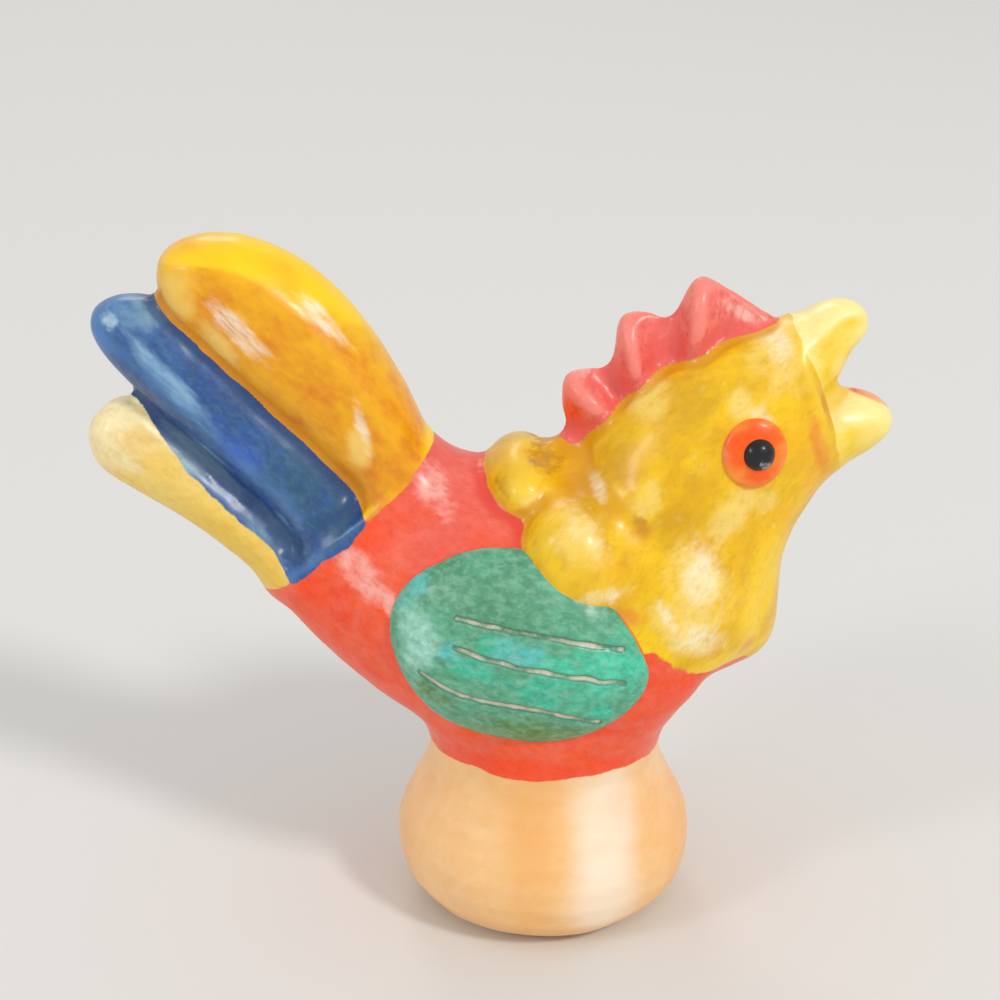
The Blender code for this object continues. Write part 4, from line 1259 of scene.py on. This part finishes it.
def featherTree():
    # presses grooves with a small raised lip along curves drawn over the wing
    tree, given = geometryTree("featherLines", {
        "Geometry": "Geometry", "Lines": "Object", "Material": "Material", "Width": "Float",
        "Depth": "Float", "Lip": "Float"})
    lines = addNode(tree, "GeometryNodeObjectInfo", {"Object": given["Lines"]})
    drawn = addNode(tree, "GeometryNodeCurveToMesh", {"Curve": lines.outputs["Geometry"]})
    near = addNode(tree, "GeometryNodeProximity", {0: drawn.outputs[0]}, target_element="EDGES")
    away = near.outputs["Distance"]
    uneven = addNode(tree, "ShaderNodeTexNoise", {"Scale": 0.22, "Detail": 2})
    swell = maths(tree, "MULTIPLY", maths(tree, "ADD", uneven.outputs["Fac"], 0.25), 0.6)
    half = maths(tree, "MULTIPLY", given["Width"], swell)
    shape = addNode(tree, "ShaderNodeMapRange", {
        "From Min": 0, "From Max": half, "To Min": 1, "To Max": 0, "Value": away},
        interpolation_type="SMOOTHSTEP").outputs["Result"]
    offRim = maths(tree, "SUBTRACT", maths(tree, "DIVIDE", away, half), 1.25)
    rim = maths(tree, "MULTIPLY", maths(tree, "MULTIPLY", offRim, offRim), -9.0)
    lip = maths(tree, "MULTIPLY", maths(tree, "EXPONENT", rim), given["Lip"])
    lift = maths(tree, "SUBTRACT", lip, maths(tree, "MULTIPLY", shape, given["Depth"]))
    normal = tree.nodes.new("GeometryNodeInputNormal").outputs[0]
    shift = addNode(tree, "ShaderNodeVectorMath", {0: normal, "Scale": lift}, operation="SCALE")
    pressed = addNode(tree, "GeometryNodeSetPosition", {
        "Geometry": given["Geometry"], "Offset": shift.outputs[0]})
    kept = addNode(tree, "GeometryNodeStoreNamedAttribute", {
        "Name": "groove", "Value": shape, "Geometry": pressed.outputs[0]}, data_type="FLOAT", domain="POINT")
    return finishTree(tree, kept.outputs[0], given["Material"])


def featherCurves(side, tree):
    lines = []
    for line in wingClay["lines"]:
        lines.append([])
        for step in range(wingClay["lineSteps"] + 1):
            x, z = smoothRow(line, step / wingClay["lineSteps"])
            shake = wingClay["shake"] * noise.noise((x / 3, side * 4, z / 6))
            lines[-1].append(tree.ray_cast((x, side * 200, z + shake), (0, -side, 0))[0])
    return polyCurves("featherLines", lines)


def unevenWing(wing, side):
    points, normals = pointsOf(wing.data), pointsOf(wing.data, "normal")
    (broad, broadSize), (fine, fineSize) = wingClay["uneven"]
    shift = Vector((side * 5, 1, 2))
    lift = np.array([broad * noise.noise(Vector(point) / broadSize + shift)
                     + fine * noise.noise(Vector(point) / fineSize) for point in points])
    return (points + normals * lift[:, None]).clip(lowCorner, highCorner)


def makeWing(side, word):
    points, faces = wingForm(side)
    curves = featherCurves(side, BVHTree.FromPolygons(points.tolist(), faces))
    wing = meshFrom("wing" + word, points, faces)
    wing.data.shade_smooth()
    wing = runTree(wing, wingTree, {
        "Lines": curves, "Material": wingPaint, "Width": wingClay["lineWidth"],
        "Depth": wingClay["lineDepth"], "Lip": wingClay["lip"]})
    bpy.data.objects.remove(curves)
    points = unevenWing(wing, side)
    away = np.array([bodyTree.find_nearest(point.tolist())[3] for point in points])
    storeValues(wing, "redLine", wingClay["redGap"] - away)
    wing.data.vertices.foreach_set("co", (points * mm).ravel())
    wing.data.update()
    handOver(wing, "wing_" + word.lower())


wingTree = featherTree()
wingPaint = clayMaterial("wingGreen", "wing", ("red",), scratched=True)
for side, word in ((-1, "Right"), (1, "Left")):
    makeWing(side, word)

print("bird: eyes")

# how far each pad reaches, how thick it is and how far its foot is from the clay
eyeClay = {
    "x": 40.9, "rise": 72.0, "sides": 96, "rings": 24, "root": 1.5,
    "eye": {
        "forward": 0, "halfLength": 6.6, "halfHeight": 7.0, "thickness": 1.8, "base": -0.3, "fullness": 2.6},
    "pupil": {
        "forward": 0.5, "halfLength": 3.182, "halfHeight": 3.182, "thickness": 2.4, "base": 0.9,
        "fullness": 2.0},
}
eyePaints = {"eye": clayMaterial("eyeOrange", "eye"), "pupil": clayMaterial("pupilBlack", "pupil")}


def dome(side, which):
    # a round pad on the cheek
    v, pad = eyeClay, eyeClay[which]
    centreX, centreZ = footX + v["x"] + pad["forward"], waistZ + v["rise"]
    _, normal = onSide(headTree, side, centreX, centreZ)
    points = []
    for share in ringShares(v["rings"]):
        height = pad["base"] + pad["thickness"] * crownAt(share, pad["fullness"])
        for step in range(v["sides"]):
            angle = 2 * math.pi * step / v["sides"]
            hit, facing = onSide(headTree, side, centreX + pad["halfLength"] * share * math.cos(angle),
                                 centreZ + pad["halfHeight"] * share * math.sin(angle))
            points.append(hit + facing.lerp(normal, 0.5).normalized() * height)
    points = np.array(points)
    under = points[-v["sides"]:].mean(0) - np.array(normal) * v["root"]
    return closedPad(points, v["sides"], under, side < 0)


for side, word in ((-1, "Right"), (1, "Left")):
    for which, paint in eyePaints.items():
        points, faces = dome(side, which)
        piece = meshFrom(which + word, points * mm, faces)
        piece.data.shade_smooth()
        piece.data.materials.append(paint)
        handOver(piece, which + "_" + word.lower())

print("bird: done")
